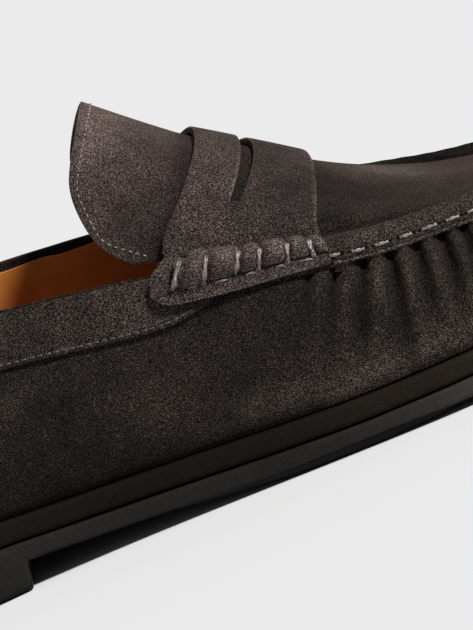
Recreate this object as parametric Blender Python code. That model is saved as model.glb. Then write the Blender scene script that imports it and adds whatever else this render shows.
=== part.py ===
"""Right loafer: moccasin upper on a low-heeled sole. Toe to +X, inner side to +Y, floor at Z = 0."""
import math
from collections import namedtuple

import bmesh
import bpy
import numpy as np

# Sizes in millimetres.
LENGTH = 300.0          # outsole, heel back to toe tip
BALL_WIDTH = 102.5      # unit of the widths below, about the outsole across the ball
INSTEP = 75.3           # top of the apron at the strap's rear edge, above the datum
HEEL = 18.6             # seat of the upper at the heel, above the datum

GAP = 0.3               # free space between neighbouring pieces
WALL = 2.0              # upper with its lining
FEATHER_INSET = 2.6     # wall's foot inside the outsole's edge
MIDSOLE_INSET = 0.9     # midsole's edge inside the outsole's edge
STAND = -1.2            # floor under heel and ball, against the datum of all heights
TREAD_INSET = 2.0       # outsole's underside inside its edge
EDGE_ROUND = 0.7        # outsole's upper edge
SLIP_ROUND = 0.5        # edges of midsole and insole
HEEL_EDGE = 1.2         # rounded lower edge of the heel
INSOLE_THICK = 3.0
BREAST = 75.0           # heel breast from the heel back
BREAST_SLOPE = 1.2
BAND = 7.0              # width of the rolled seam on the apron's side
LIP = 3.0               # width of the rolled seam on the wall's side
LIP_STEP = 1.2          # raw edge of the rolled seam
ROLL = 3.4              # height of the rolled seam
THROAT = 138.0          # rear end of the apron, under the strap
STRAP_REAR, STRAP_FRONT = 131.4, 165.7   # strap's edges on top of the instep
STRAP_REAR_SIDE, STRAP_FRONT_SIDE = 134.3, 168.0   # the same at its sides
STRAP_REAR_FOOT, STRAP_FRONT_FOOT = 130.4, 168.0   # the same at the seam of its raw ends
SEAM_DROP = 4.9         # strap's seam below the rim at its rear end
STRAP_THICK = 1.8
STRAP_FOOT, STRAP_FOOT_FRONT = 3.2, 2.3   # strap's raw edge below the seam, at its rear and front
STRAP_RAMP = 7.0        # length over which it comes down from the collar panel
SLOT_HALF_WIDE, SLOT_HALF_NARROW = 0.064, 0.040   # shares of the strap's width
SLOT_AT, SLOT_AT_END = 0.445, 0.400   # slot's middle between the strap's edges
TONGUE_THICK = 2.0
TONGUE_START = 136.6    # front edge, under the strap
TONGUE_KNEE = 130.4     # where it leaves the apron and stands up
TONGUE_ROOT = 0.24      # share of its length that lies under the strap
TONGUE_LOW = 0.42       # share of the seam's band that its sides reach down to
TONGUE_BELLY = 0.6      # fullness of its bend
TONGUE_CORNER, CORNER_FROM, CORNER_POWER = 0.66, 0.6, 1.3   # rounding of its rear corners
TONGUE_TOP = (131.6, 0.5, 94.5)
TONGUE_SIDE = (107.6, 32.0, 61.0)
TONGUE_MEDIAL = 4.0     # medial rear corner lies this much further forward
COLLAR_THICK = 0.8
COLLAR_FRONT = 139.6    # front end, under the strap's foot
COLLAR_TOP = 0.985      # share of the wall's height
ROLL_REAR, ROLL_FRONT = 132.2, 168.2   # ends of the bound rolls
ROLL_LEAN = 4.6         # its rear end's top lies this much further forward, running out to the front
ROLL_BASE = 0.35        # thickness of a roll at its border
ROLL_PINCH = 0.30       # share of a roll's height that a turn of thread takes away
ROLL_ROUND = 0.7        # fullness of its puffs
ROLL_ARCS, PUFF_STEPS, PUFF_STEP, PUFF_END = 6, 5, 0.033, 0.10   # its divisions, ends past both sides

# One row for each section round the shoe, from heel back to toe tip.
# along and rim_along are shares of LENGTH; out, rim are shares of BALL_WIDTH for the
# lateral and medial side; rim heights are shares of INSTEP; swell in millimetres.
Section = namedtuple('Section', 'along out_lat out_med rim_along rim_lat rim_med '
                                'top_lat top_med swell_lat swell_med')
SECTIONS = [Section(*row) for row in (
    (0.000, 0.000, 0.000, 0.028, 0.000, 0.000, 0.930, 0.930, 4.5, 4.5),
    (0.030, 0.205, 0.205, 0.050, 0.151, 0.151, 0.924, 0.927, 4.0, 4.0),
    (0.080, 0.298, 0.298, 0.090, 0.229, 0.229, 0.908, 0.916, 3.2, 3.2),
    (0.130, 0.330, 0.330, 0.135, 0.263, 0.263, 0.890, 0.903, 2.8, 2.8),
    (0.200, 0.338, 0.332, 0.202, 0.286, 0.279, 0.867, 0.888, 2.8, 3.0),
    (0.270, 0.334, 0.310, 0.270, 0.297, 0.285, 0.838, 0.873, 3.0, 3.6),
    (0.317, 0.340, 0.285, 0.317, 0.304, 0.289, 0.809, 0.855, 3.2, 4.4),
    (0.370, 0.354, 0.269, 0.370, 0.321, 0.295, 0.769, 0.827, 3.3, 5.0),
    (0.417, 0.379, 0.271, 0.417, 0.341, 0.302, 0.736, 0.799, 3.4, 5.0),
    (0.443, 0.394, 0.281, 0.443, 0.357, 0.308, 0.709, 0.772, 3.5, 4.8),
    (0.470, 0.413, 0.295, 0.470, 0.370, 0.314, 0.672, 0.738, 3.6, 4.6),
    (0.520, 0.449, 0.337, 0.520, 0.386, 0.330, 0.611, 0.680, 3.8, 4.2),
    (0.570, 0.480, 0.390, 0.570, 0.396, 0.341, 0.551, 0.634, 4.0, 4.0),
    (0.630, 0.501, 0.447, 0.630, 0.398, 0.351, 0.517, 0.576, 4.2, 4.0),
    (0.700, 0.498, 0.483, 0.695, 0.382, 0.353, 0.497, 0.515, 4.6, 4.4),
    (0.770, 0.466, 0.480, 0.753, 0.340, 0.340, 0.489, 0.493, 5.2, 5.0),
    (0.830, 0.416, 0.453, 0.800, 0.285, 0.306, 0.490, 0.494, 6.0, 5.6),
    (0.900, 0.325, 0.390, 0.850, 0.200, 0.250, 0.497, 0.498, 6.8, 6.4),
    (0.950, 0.226, 0.313, 0.880, 0.121, 0.192, 0.503, 0.503, 7.2, 7.0),
    (0.985, 0.094, 0.207, 0.895, 0.034, 0.129, 0.507, 0.507, 7.4, 7.3),
    (1.000, -0.059, 0.059, 0.898, -0.049, 0.049, 0.509, 0.509, 7.5, 7.5),
)]

# Apron, by the station of its rim: lean of the crest towards the toe (mm), crest height
# (share of INSTEP), slope of the seam band (degrees), fullness of the arch (1 flat, 0.5 round).
Apron = namedtuple('Apron', 'along lean crest slope crown')
APRONS = [Apron(*row) for row in (
    (0.400, 23.5, 1.075, 80.0, 0.56),
    (0.443, 19.5, 1.000, 79.0, 0.58),
    (0.470, 16.8, 0.947, 76.0, 0.60),
    (0.520, 11.3, 0.851, 68.0, 0.66),
    (0.570, 6.4, 0.746, 58.0, 0.74),
    (0.600, 4.3, 0.686, 46.0, 0.80),
    (0.630, 2.4, 0.641, 34.0, 0.88),
    (0.660, 1.5, 0.599, 26.0, 0.94),
    (0.700, 0.5, 0.558, 17.0, 1.00),
    (0.770, 0.0, 0.535, 8.0, 1.00),
    (0.830, 0.0, 0.528, 5.0, 1.00),
    (0.900, 0.0, 0.523, 5.0, 1.00),
    (1.000, 0.0, 0.517, 5.0, 1.00),
)]

# Sole along its length: seat of the upper as a share of HEEL, midsole thickness, and the heights of
# the outsole's lower edge and of its underside.
Sole = namedtuple('Sole', 'along seat mid edge tread')
SOLES = [Sole(*row) for row in (
    (0.000, 1.032, 5.6, 6.8, 5.8),
    (0.130, 0.989, 5.6, 6.5, 5.5),
    (0.250, 0.871, 5.5, 6.0, 5.0),
    (0.300, 0.790, 5.5, 4.8, 3.8),
    (0.350, 0.731, 5.5, 3.6, 2.6),
    (0.400, 0.672, 5.5, 2.5, 1.2),
    (0.433, 0.636, 5.4, 1.7, 0.0),
    (0.457, 0.612, 5.4, 1.4, -1.0),
    (0.477, 0.594, 5.3, 1.4, -1.2),
    (0.540, 0.554, 5.1, 1.5, -1.2),
    (0.570, 0.552, 5.0, 1.3, -0.8),
    (0.600, 0.553, 5.0, 1.0, -0.3),
    (0.650, 0.565, 4.9, 1.1, 0.4),
    (0.733, 0.624, 5.3, 2.4, 1.6),
    (0.833, 0.763, 5.3, 4.8, 4.0),
    (0.917, 0.909, 5.3, 7.4, 6.6),
    (1.000, 1.075, 5.3, 10.4, 9.6),
)]

# Collar panel's lower edge: height as a share of INSTEP on both sides.
Collar = namedtuple('Collar', 'along low_lat low_med')
COLLARS = [Collar(*row) for row in (
    (0.000, 0.775, 0.775),
    (0.150, 0.725, 0.735),
    (0.300, 0.645, 0.684),
    (0.345, 0.615, 0.660),
    (0.390, 0.579, 0.632),
    (0.425, 0.560, 0.616),
    (0.449, 0.557, 0.612),
    (0.468, 0.585, 0.640),
)]

# Rounded rear end of the strap's foot: distance below the rim as a share of the foot's depth,
# and the station of the edge there (mm).
Flange = namedtuple('Flange', 'down rear')
FLANGES = [Flange(*row) for row in (
    (1.00, 131.8),
    (0.80, 129.0),
    (0.60, 128.3),
    (0.36, 128.6),
    (0.13, 129.7),
)]

# Bound rolls: a row for each turn of thread, and one for the front end. Share of the roll's
# length, its width over the seam and its height (mm).
Turn = namedtuple('Turn', 'at wide high')
TURNS = [Turn(*row) for row in (
    (0.03, 8.4, 3.2),
    (0.22, 8.0, 3.7),
    (0.42, 6.6, 3.3),
    (0.56, 6.2, 3.0),
    (0.74, 5.7, 2.8),
    (0.91, 5.2, 2.6),
    (1.00, 5.0, 2.4),
)]

# Rolled seam across its band: height at each of BAND_NODES as a share of ROLL.
SEAM_PROFILE = (0.80, 0.97, 1.00, 0.60, 0.12, 0.0)

WALL_NODES = (0.0, 0.14, 0.30, 0.46, 0.62, 0.78)
BAND_NODES = (0.0, 0.2, 0.4, 0.6, 0.8, 1.0)
STRAP_SIDE_NODES = (0.0, 0.3, 0.55, 1.0)
APRON_SPLIT = 12


def station_angle(along):
    """Angle whose cosine spacing gives a share of the length."""
    return 2.0 * math.asin(math.sqrt(min(max(along, 0.0), 1.0)))


def ring_curve(angles, values):
    """Smooth closed curve through values given at angles round the shoe."""
    order = np.argsort(angles)
    t, y = np.asarray(angles)[order], np.asarray(values, float)[order]
    n = len(t)
    h = np.diff(np.append(t, t[0] + 2 * math.pi))
    matrix, right = np.zeros((n, n)), np.zeros(n)
    for i in range(n):
        before, after = (i - 1) % n, (i + 1) % n
        matrix[i, before] += h[before]
        matrix[i, i] += 2 * (h[before] + h[i])
        matrix[i, after] += h[i]
        right[i] = 6 * ((y[after] - y[i]) / h[i] - (y[i] - y[before]) / h[before])
    bend = np.linalg.solve(matrix, right)

    def value(u):
        u = (u - t[0]) % (2 * math.pi) + t[0]
        i = min(int(np.searchsorted(t, u, side='right')) - 1, n - 1)
        j, a = (i + 1) % n, u - t[i]
        b = h[i] - a
        return ((bend[i] * b ** 3 + bend[j] * a ** 3) / (6 * h[i])
                + (y[i] / h[i] - bend[i] * h[i] / 6) * b + (y[j] / h[i] - bend[j] * h[i] / 6) * a)
    return value


def open_curve(xs, ys):
    """Curve through a table that keeps between neighbouring values."""
    x, y = np.asarray(xs, float), np.asarray(ys, float)
    h, d = np.diff(x), np.diff(y) / np.diff(x)
    m = np.zeros(len(x))
    m[0], m[-1] = d[0], d[-1]
    for i in range(1, len(x) - 1):
        if d[i - 1] * d[i] > 0:
            w1, w2 = 2 * h[i] + h[i - 1], h[i] + 2 * h[i - 1]
            m[i] = (w1 + w2) / (w1 / d[i - 1] + w2 / d[i])

    def value(v):
        v = min(max(v, x[0]), x[-1])
        i = min(max(int(np.searchsorted(x, v)) - 1, 0), len(x) - 2)
        t = (v - x[i]) / h[i]
        return ((1 + 2 * t) * (1 - t) ** 2 * y[i] + t * (1 - t) ** 2 * h[i] * m[i]
                + t * t * (3 - 2 * t) * y[i + 1] + t * t * (t - 1) * h[i] * m[i + 1])
    return value


def ring_of(lateral, medial, scale):
    """Closed curve of a table column pair; lateral angles are positive."""
    angles, values = [], []
    for row in SECTIONS:
        u = station_angle(row.along)
        angles.append(u)
        values.append(lateral(row) * scale)
        if 0.0 < row.along < 1.0:
            angles.append(-u)
            values.append(medial(row) * scale)
    return ring_curve(angles, values)


out_y = ring_of(lambda r: -r.out_lat, lambda r: r.out_med, BALL_WIDTH)
rim_x = ring_of(lambda r: r.rim_along, lambda r: r.rim_along, LENGTH)
rim_y = ring_of(lambda r: -r.rim_lat, lambda r: r.rim_med, BALL_WIDTH)
rim_z = ring_of(lambda r: r.top_lat, lambda r: r.top_med, INSTEP)
swell = ring_of(lambda r: r.swell_lat, lambda r: r.swell_med, 1.0)
apron_lean = open_curve([r.along for r in APRONS], [r.lean for r in APRONS])
apron_crest = open_curve([r.along for r in APRONS], [r.crest * INSTEP for r in APRONS])
apron_slope = open_curve([r.along for r in APRONS], [r.slope for r in APRONS])
apron_crown = open_curve([r.along for r in APRONS], [r.crown for r in APRONS])
sole_seat = open_curve([r.along for r in SOLES], [r.seat * HEEL for r in SOLES])
sole_mid = open_curve([r.along for r in SOLES], [r.mid for r in SOLES])
sole_edge = open_curve([r.along for r in SOLES], [r.edge for r in SOLES])
sole_tread = open_curve([r.along for r in SOLES], [r.tread for r in SOLES])
roll_wide = open_curve([r.at for r in TURNS], [r.wide for r in TURNS])
roll_high = open_curve([r.at for r in TURNS], [r.high for r in TURNS])
collar_low = {1: open_curve([r.along for r in COLLARS], [r.low_lat * INSTEP for r in COLLARS]),
              -1: open_curve([r.along for r in COLLARS], [r.low_med * INSTEP for r in COLLARS])}


def share(u):
    return (1.0 - math.cos(u)) / 2.0


def edge(u, inset):
    """Plan point at a distance inside the outsole's edge."""
    d = 1e-3
    ax, bx = LENGTH * share(u - d), LENGTH * share(u + d)
    ay, by = out_y(u - d), out_y(u + d)
    t = np.array((bx - ax, by - ay))
    t /= np.linalg.norm(t)
    return np.array((LENGTH * share(u), out_y(u))) + inset * np.array((-t[1], t[0]))


def foot(u):
    """Lower edge of the upper's wall."""
    x, y = edge(u, FEATHER_INSET)
    return np.array((x, y, sole_seat(x / LENGTH) + GAP))


def rim(u):
    """Topline at the rear, apron seam at the front."""
    return np.array((rim_x(u), rim_y(u), rim_z(u)))


def wall(u, t):
    """Point of the wall, t from foot to rim."""
    d = 1e-3
    low, high = foot(u), rim(u)
    along = foot(u + d) + rim(u + d) - foot(u - d) - rim(u - d)
    out = np.cross(along, high - low)
    out /= np.linalg.norm(out)
    return low + (high - low) * t + out * swell(u) * math.sin(math.pi * t ** 0.8)


def band(u, b):
    """Point of the seam's band, b from the rim onto the apron."""
    d = 1e-3
    t = rim(u + d) - rim(u - d)
    inward = np.array((-t[1], t[0], 0.0))
    inward /= np.linalg.norm(inward)
    slope = math.radians(apron_slope(share(u)))
    return rim(u) + BAND * b * (inward * math.cos(slope) + np.array((0, 0, math.sin(slope))))


def apron(u, theta):
    """Point of the apron's arch from the lateral (0) to the medial (pi) side."""
    low, high = band(abs(u), 1.0), band(-abs(u), 1.0)
    middle = (low + high) / 2
    rise = np.array((apron_lean(share(u)), 0.0, apron_crest(share(u)) - middle[2]))
    c = math.cos(theta)
    return (middle - (high - low) / 2 * c
            + rise * max(1.0 - c * c, 0.0) ** apron_crown(share(u)))


def wall_share(u, distance):
    """Wall parameter at a distance below the rim."""
    ts = np.linspace(0.5, 1.0, 26)
    points = np.array([wall(u, t) for t in ts])
    steps = np.linalg.norm(np.diff(points, axis=0), axis=1)
    left = np.concatenate((np.cumsum(steps[::-1])[::-1], [0.0]))
    return float(np.interp(-distance, -left, ts))


def near_rim(u, distance):
    """Point at a distance from the rim: up over the band, or down the wall when negative."""
    if distance < 0:
        return wall(u, wall_share(u, -distance))
    return band(u, distance / BAND)


def strap_part(u):
    """Place along the strap's foot, 0 at its front and 1 at its rear."""
    part = (STRAP_FRONT_FOOT - share(u) * LENGTH) / (STRAP_FRONT_FOOT - STRAP_REAR_FOOT)
    return min(max(part, 0.0), 1.1)


def seam_drop(u):
    """Strap's seam below the rim, running out at the strap's front."""
    return SEAM_DROP * strap_part(u) ** 1.3


def foot_drop(u):
    """Strap's raw edge below the rim."""
    return seam_drop(u) + STRAP_FOOT_FRONT + (STRAP_FOOT - STRAP_FOOT_FRONT) * min(strap_part(u) * 2.0, 1.0)


def wall_share_at(u, height):
    """Wall parameter at a height above the floor."""
    ts = np.linspace(0.0, 1.0, 60)
    return float(np.interp(height, [wall(u, t)[2] for t in ts], ts))


def angles_between(first, last, count):
    return list(np.linspace(station_angle(first / LENGTH), station_angle(last / LENGTH), count + 1))


SEAM_END, SEAM_FULL = STRAP_FRONT_FOOT + 0.3, STRAP_FRONT_FOOT + 1.3
SHELL_ANGLES = (angles_between(0, 124, 13)[:-1] + angles_between(124, THROAT, 2)[:-1]
                + angles_between(THROAT, SEAM_END, 5) + angles_between(SEAM_FULL, 204, 6)[:-1]
                + angles_between(204, 300, 13))


def smooth_step(x):
    x = min(max(x, 0.0), 1.0)
    return x * x * (3 - 2 * x)


def seam_start(u):
    """Rolled seam rises straight in front of the strap's edge."""
    return smooth_step((share(u) * LENGTH - SEAM_END) / (SEAM_FULL - SEAM_END))


def over_collar(u):
    """Strap's foot lies over the front end of the collar panel, then comes down to the wall."""
    past = share(u) * LENGTH - COLLAR_FRONT - GAP
    return (COLLAR_THICK + GAP) * (1.0 - smooth_step(past / STRAP_RAMP))


class Skin:
    """Open sheet collected from named points and faces."""

    def __init__(self):
        self.points, self.faces, self.names = [], [], {}
        self.outer, self.inner, self.level = [], [], set()

    def point(self, name, place, outer, inner, level=False):
        if name not in self.names:
            self.names[name] = len(self.points)
            self.points.append(place)
            self.outer.append(outer)
            self.inner.append(inner)
            if level:
                self.level.add(self.names[name])
        return self.names[name]

    def face(self, *corners):
        seen = [c for i, c in enumerate(corners) if c != corners[i - 1]]
        if len(seen) > 2:
            self.faces.append(seen)

    def solid(self):
        """Closed shell: the sheet moved out and in along its normals, with its borders joined."""
        sheet = bmesh.new()
        made = [sheet.verts.new(p) for p in self.points]
        for f in self.faces:
            sheet.faces.new([made[i] for i in f])
        sheet.verts.index_update()
        sheet.normal_update()
        top, low = [], []
        for i, v in enumerate(made):
            n = np.array(v.normal)
            if i in self.level:
                n[2] = 0.0
                n /= np.linalg.norm(n)
            top.append(self.points[i] + n * self.outer[i])
            low.append(self.points[i] + n * self.inner[i])
        count = len(made)
        faces = list(self.faces) + [[i + count for i in reversed(f)] for f in self.faces]
        for e in sheet.edges:
            if len(e.link_loops) == 1:
                loop = e.link_loops[0]
                a, b = loop.vert.index, loop.link_loop_next.vert.index
                faces.append([b, a, a + count, b + count])
        sheet.free()
        return top + low, faces


def upper_solid():
    skin = Skin()
    last = len(SHELL_ANGLES) - 1

    def sided(i, side):
        return SHELL_ANGLES[i] * (1 if i in (0, last) else side)

    def tag(i, side):
        return 0 if i in (0, last) else side

    wall_at = {}
    for i in range(last + 1):
        for side in (1, -1):
            u = sided(i, side)
            seam = seam_start(u)
            lip = (wall_share(u, LIP + 0.25), wall_share(u, LIP - 0.25), wall_share(u, LIP * 0.4))
            for j, t in enumerate(WALL_NODES + lip + (1.0,)):
                steps = (0.0, LIP_STEP, LIP_STEP + 0.5, ROLL * SEAM_PROFILE[0])
                raised = steps[max(j - len(WALL_NODES), 0)]
                raised = raised * seam if j > len(WALL_NODES) else 0.0
                wall_at[i, side, j] = skin.point(('wall', i, tag(i, side), j), wall(u, t),
                                                 raised, -WALL, j == 0)
    columns = len(WALL_NODES) + 3
    for i in range(last):
        for j in range(columns):
            a, b = wall_at[i, 1, j], wall_at[i + 1, 1, j]
            c, d = wall_at[i + 1, 1, j + 1], wall_at[i, 1, j + 1]
            skin.face(a, b, c, d)
            a, b = wall_at[i, -1, j], wall_at[i + 1, -1, j]
            c, d = wall_at[i + 1, -1, j + 1], wall_at[i, -1, j + 1]
            skin.face(d, c, b, a)

    first = min(range(last + 1), key=lambda i: abs(SHELL_ANGLES[i] - station_angle(THROAT / LENGTH)))
    across_at = {}
    for i in range(first, last + 1):
        row = []
        for side in (1, -1):
            u = sided(i, side)
            seam = seam_start(u)
            points = [wall_at[i, side, columns]]
            for k, b in enumerate(BAND_NODES):
                if k:
                    points.append(skin.point(('band', i, tag(i, side), k), band(u, b),
                                             ROLL * SEAM_PROFILE[k] * seam, -WALL))
            row.append(points)
        middle = []
        for k in range(1, APRON_SPLIT):
            if i == last:
                middle.append(row[0][-1])
            else:
                theta = math.pi * k / APRON_SPLIT
                middle.append(skin.point(('apron', i, k), apron(SHELL_ANGLES[i], theta), 0.0, -WALL))
        across_at[i] = row[0] + middle + row[1][::-1]
    for i in range(first, last):
        here, ahead = across_at[i], across_at[i + 1]
        for k in range(len(here) - 1):
            skin.face(here[k], ahead[k], ahead[k + 1], here[k + 1])
    return skin.solid()


def strap_solid():
    """Strap over the apron and both seams, with its slot left open."""
    skin = Skin()
    rear_of = {row.down: row.rear for row in FLANGES}
    feet = [('foot', row.down) for row in FLANGES] + [('side', b) for b in STRAP_SIDE_NODES]
    arch = [('arch', math.pi * k / 12) for k in range(1, 12)]
    across = [(1,) + c for c in feet] + [(1,) + c for c in arch] + [(-1,) + c for c in reversed(feet)]
    slot_first, slot_last = len(feet) + 1, len(across) - len(feet) - 2

    grid = []
    for k, (side, kind, value) in enumerate(across):
        wide, at = SLOT_HALF_NARROW, SLOT_AT_END
        if slot_first <= k <= slot_last:
            middle = abs(k - (slot_first + slot_last) / 2) / ((slot_last - slot_first) / 2)
            wide += (SLOT_HALF_WIDE - SLOT_HALF_NARROW) * (1 - middle)
            at += (SLOT_AT - SLOT_AT_END) * (1 - middle ** 2)
        if kind == 'foot':
            rear, front = rear_of[value], STRAP_FRONT_FOOT
        elif kind == 'side':
            part = min(value / STRAP_SIDE_NODES[2], 1.0)
            rear = STRAP_REAR_FOOT + (STRAP_REAR_SIDE - STRAP_REAR_FOOT) * part
            front = STRAP_FRONT_FOOT + (STRAP_FRONT_SIDE - STRAP_FRONT_FOOT) * value
        else:
            low = 1 - math.sin(value)
            rear = STRAP_REAR + (STRAP_REAR_SIDE - STRAP_REAR) * low ** 0.6
            front = STRAP_FRONT + (STRAP_FRONT_SIDE - STRAP_FRONT) * low
        line = []
        for r in (0.0, 0.14, 0.28, at - wide, at + wide, 0.70, 0.85, 1.0):
            u = station_angle((rear + (front - rear) * r) / LENGTH)
            lift = 0.0
            if kind == 'foot':
                place = near_rim(side * u, -foot_drop(u) * value)
                lift = over_collar(u)
            elif kind == 'side':
                place = band(side * u, value)
                lift = over_collar(u) * (1.0 - value)
            else:
                place = apron(u, value)
            line.append(skin.point((k, r), place, GAP + lift + STRAP_THICK, GAP + lift))
        grid.append(line)
    for k in range(len(grid) - 1):
        for r in range(7):
            if not (r == 3 and slot_first <= k < slot_last):
                skin.face(grid[k][r], grid[k][r + 1], grid[k + 1][r + 1], grid[k + 1][r])
    return skin.solid()


def tongue(a, w):
    """Point of the tongue, a from its root to its rear edge, w from the lateral to the medial edge."""
    side = 1 if w <= 0 else -1

    def arch(station):
        u = station_angle(station / LENGTH)
        if abs(w) > 0.9:
            return band(side * u, TONGUE_LOW + (1.0 - TONGUE_LOW) * (1.0 - abs(w)) / 0.1)
        return apron(u, math.pi / 2 * (1.0 + w / 0.9))

    root, knee = arch(TONGUE_START), arch(TONGUE_KNEE)
    theta = math.pi / 2 * (1.0 + w)
    low = 1 - math.sin(theta)
    back = TONGUE_TOP[0] - TONGUE_SIDE[0] - TONGUE_MEDIAL * max(w, 0.0) ** 0.5
    end = np.array((TONGUE_TOP[0] - back * low ** 0.9,
                    TONGUE_TOP[1] - TONGUE_SIDE[1] * math.cos(theta),
                    TONGUE_TOP[2] - (TONGUE_TOP[2] - TONGUE_SIDE[2]) * low))
    if a <= TONGUE_ROOT:
        return root + (knee - root) * a / TONGUE_ROOT
    b = (a - TONGUE_ROOT) / (1 - TONGUE_ROOT)
    return knee + (end - knee) * b + (knee - root) * (b * (1 - b)) * TONGUE_BELLY


def tongue_solid():
    """Sheet that leaves the apron under the strap and stands up behind it, corners rounded off."""
    skin = Skin()
    rows, halves = 8, 9
    grid = []
    for k in range(-halves, halves + 1):
        w = math.copysign(abs(k / halves) ** 0.8, k)
        cut = max(abs(w) - CORNER_FROM, 0.0) / (1.0 - CORNER_FROM)
        reach = 1.0 - TONGUE_CORNER * cut ** CORNER_POWER
        grid.append([skin.point((i, k), tongue(reach * i / rows, w), -GAP * 0.4, -GAP * 0.4 - TONGUE_THICK)
                     for i in range(rows + 1)])
    for k in range(2 * halves):
        for i in range(rows):
            skin.face(grid[k][i], grid[k + 1][i], grid[k + 1][i + 1], grid[k][i + 1])
    return skin.solid()


def collar_solid():
    """Panel round the collar, over the wall, from the strap's lateral to its medial end."""
    skin = Skin()
    stations = [share(u) * LENGTH for u in SHELL_ANGLES if share(u) * LENGTH < STRAP_REAR_FOOT]
    stations += [(stations[-1] + COLLAR_FRONT) / 2, COLLAR_FRONT]
    splits = 4
    angles = [-station_angle(s / LENGTH) for s in reversed(stations)]
    angles += [station_angle(s / LENGTH) for s in stations[1:]]
    grid = []
    for n, u in enumerate(angles):
        side = 1 if u >= 0 else -1
        low = wall_share_at(u, collar_low[side](share(u)))
        heights = [low + (COLLAR_TOP - low) * j / splits for j in range(splits + 1)]
        grid.append([skin.point((n, j), wall(u, t), GAP + COLLAR_THICK, GAP)
                     for j, t in enumerate(heights)])
    for n in range(len(grid) - 1):
        for j in range(splits):
            skin.face(grid[n][j], grid[n + 1][j], grid[n + 1][j + 1], grid[n][j + 1])
    return skin.solid()


def roll_marks():
    """Shares along a roll, in even steps between its turns of thread."""
    marks = [0.0] + [row.at for row in TURNS]
    made = [0.0]
    for first, last in zip(marks, marks[1:]):
        count = max(1, min(PUFF_STEPS, round((last - first) / PUFF_STEP)))
        made += [first + (last - first) * (i + 1) / count for i in range(count)]
    return made


def puff(s):
    """Height of the roll between two turns, as a share: low at each turn."""
    marks = [-PUFF_END] + [row.at for row in TURNS[:-1]] + [1.0 + PUFF_END]
    k = max(i for i, m in enumerate(marks[:-1]) if m <= s)
    phase = (s - marks[k]) / (marks[k + 1] - marks[k])
    return 1.0 - ROLL_PINCH * (1.0 - math.sin(math.pi * phase) ** ROLL_ROUND)


def roll_solid(side):
    """Bound roll at the strap's end: a row of puffs between the turns of thread."""
    skin = Skin()
    grid = []
    for i, s in enumerate(roll_marks()):
        end = max(1.0 - abs(2 * s - 1) ** 8, 0.0) ** 0.5
        wide = roll_wide(s) * (0.6 + 0.4 * end)
        high = roll_high(s) * puff(s) * max(end, 0.25)
        line = []
        for k in range(ROLL_ARCS + 1):
            station = ROLL_REAR + (ROLL_FRONT - ROLL_REAR) * s + ROLL_LEAN * (1.0 - s) * k / ROLL_ARCS
            u = side * station_angle(station / LENGTH)
            under = GAP + STRAP_THICK + GAP + over_collar(u)
            d = wide * k / ROLL_ARCS
            rise = ROLL_BASE
            if 0 < k < ROLL_ARCS:
                rise += high * math.sin(math.pi * k / ROLL_ARCS) ** ROLL_ROUND
            line.append(skin.point((i, k), near_rim(u, d - seam_drop(u)), under + rise, under))
        grid.append(line)
    for i in range(len(grid) - 1):
        for k in range(ROLL_ARCS):
            corners = (grid[i][k], grid[i + 1][k], grid[i + 1][k + 1], grid[i][k + 1])
            skin.face(*(corners if side > 0 else corners[::-1]))
    return skin.solid()


def ring_angles(angles):
    return list(angles) + [-u for u in reversed(angles[1:-1])]


def slab(rings, half):
    """Closed solid through rings of equal count, capped across between its two sides."""
    count = len(rings[0])
    points = [p for ring in rings for p in ring]
    faces = []
    for level in range(len(rings) - 1):
        base = level * count
        for i in range(count):
            j = (i + 1) % count
            faces.append([base + i, base + j, base + count + j, base + count + i])
    for base, turn in ((0, -1), ((len(rings) - 1) * count, 1)):
        for i in range(half):
            corners = [base + i, base + i + 1, base + (count - i - 1) % count, base + (count - i) % count]
            seen = [c for n, c in enumerate(corners) if c != corners[n - 1]]
            faces.append(seen[::turn])
    return points, faces


def sole_angles():
    marks = [share(u) * LENGTH for u in SHELL_ANGLES]
    marks = [m for m in marks if abs(m - BREAST) > 4.0] + [BREAST, BREAST + BREAST_SLOPE, 160.0, 195.0]
    return [station_angle(m / LENGTH) for m in sorted(marks)]


def tread(x):
    return STAND if x <= BREAST + 0.01 else sole_tread(x / LENGTH)


def tread_edge(x):
    return STAND + HEEL_EDGE if x <= BREAST + 0.01 else sole_edge(x / LENGTH)


def level_ring(angles, inset, height):
    ring = []
    for u in ring_angles(angles):
        x, y = edge(u, inset)
        ring.append(np.array((x, y, height(share(u) * LENGTH))))
    return ring


def outsole_solid():
    angles = sole_angles()

    def top(x):
        return sole_seat(x / LENGTH) - sole_mid(x / LENGTH) - GAP

    rings = [level_ring(angles, TREAD_INSET, tread),
             level_ring(angles, 0.0, tread_edge),
             level_ring(angles, 0.0, lambda x: top(x) - EDGE_ROUND),
             level_ring(angles, EDGE_ROUND, top)]
    return slab(rings, len(angles) - 1)


def midsole_solid():
    angles = sole_angles()

    def top(x):
        return sole_seat(x / LENGTH)

    def low(x):
        return sole_seat(x / LENGTH) - sole_mid(x / LENGTH)

    rings = [level_ring(angles, MIDSOLE_INSET + SLIP_ROUND, low),
             level_ring(angles, MIDSOLE_INSET, lambda x: low(x) + SLIP_ROUND),
             level_ring(angles, MIDSOLE_INSET, lambda x: top(x) - SLIP_ROUND),
             level_ring(angles, MIDSOLE_INSET + SLIP_ROUND, top)]
    return slab(rings, len(angles) - 1)


def insole_solid():
    angles = SHELL_ANGLES
    inset = FEATHER_INSET + WALL + GAP
    low = level_ring(angles, inset, lambda x: sole_seat(x / LENGTH) + GAP)
    high = level_ring(angles, inset + SLIP_ROUND, lambda x: sole_seat(x / LENGTH) + GAP + INSOLE_THICK)
    return slab([low, high], len(angles) - 1)


def material(name, colour, rough):
    made = bpy.data.materials.new(name)
    made.use_nodes = True
    surface = made.node_tree.nodes['Principled BSDF']
    surface.inputs['Base Color'].default_value = colour + (1.0,)
    surface.inputs['Roughness'].default_value = rough
    return made


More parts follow.
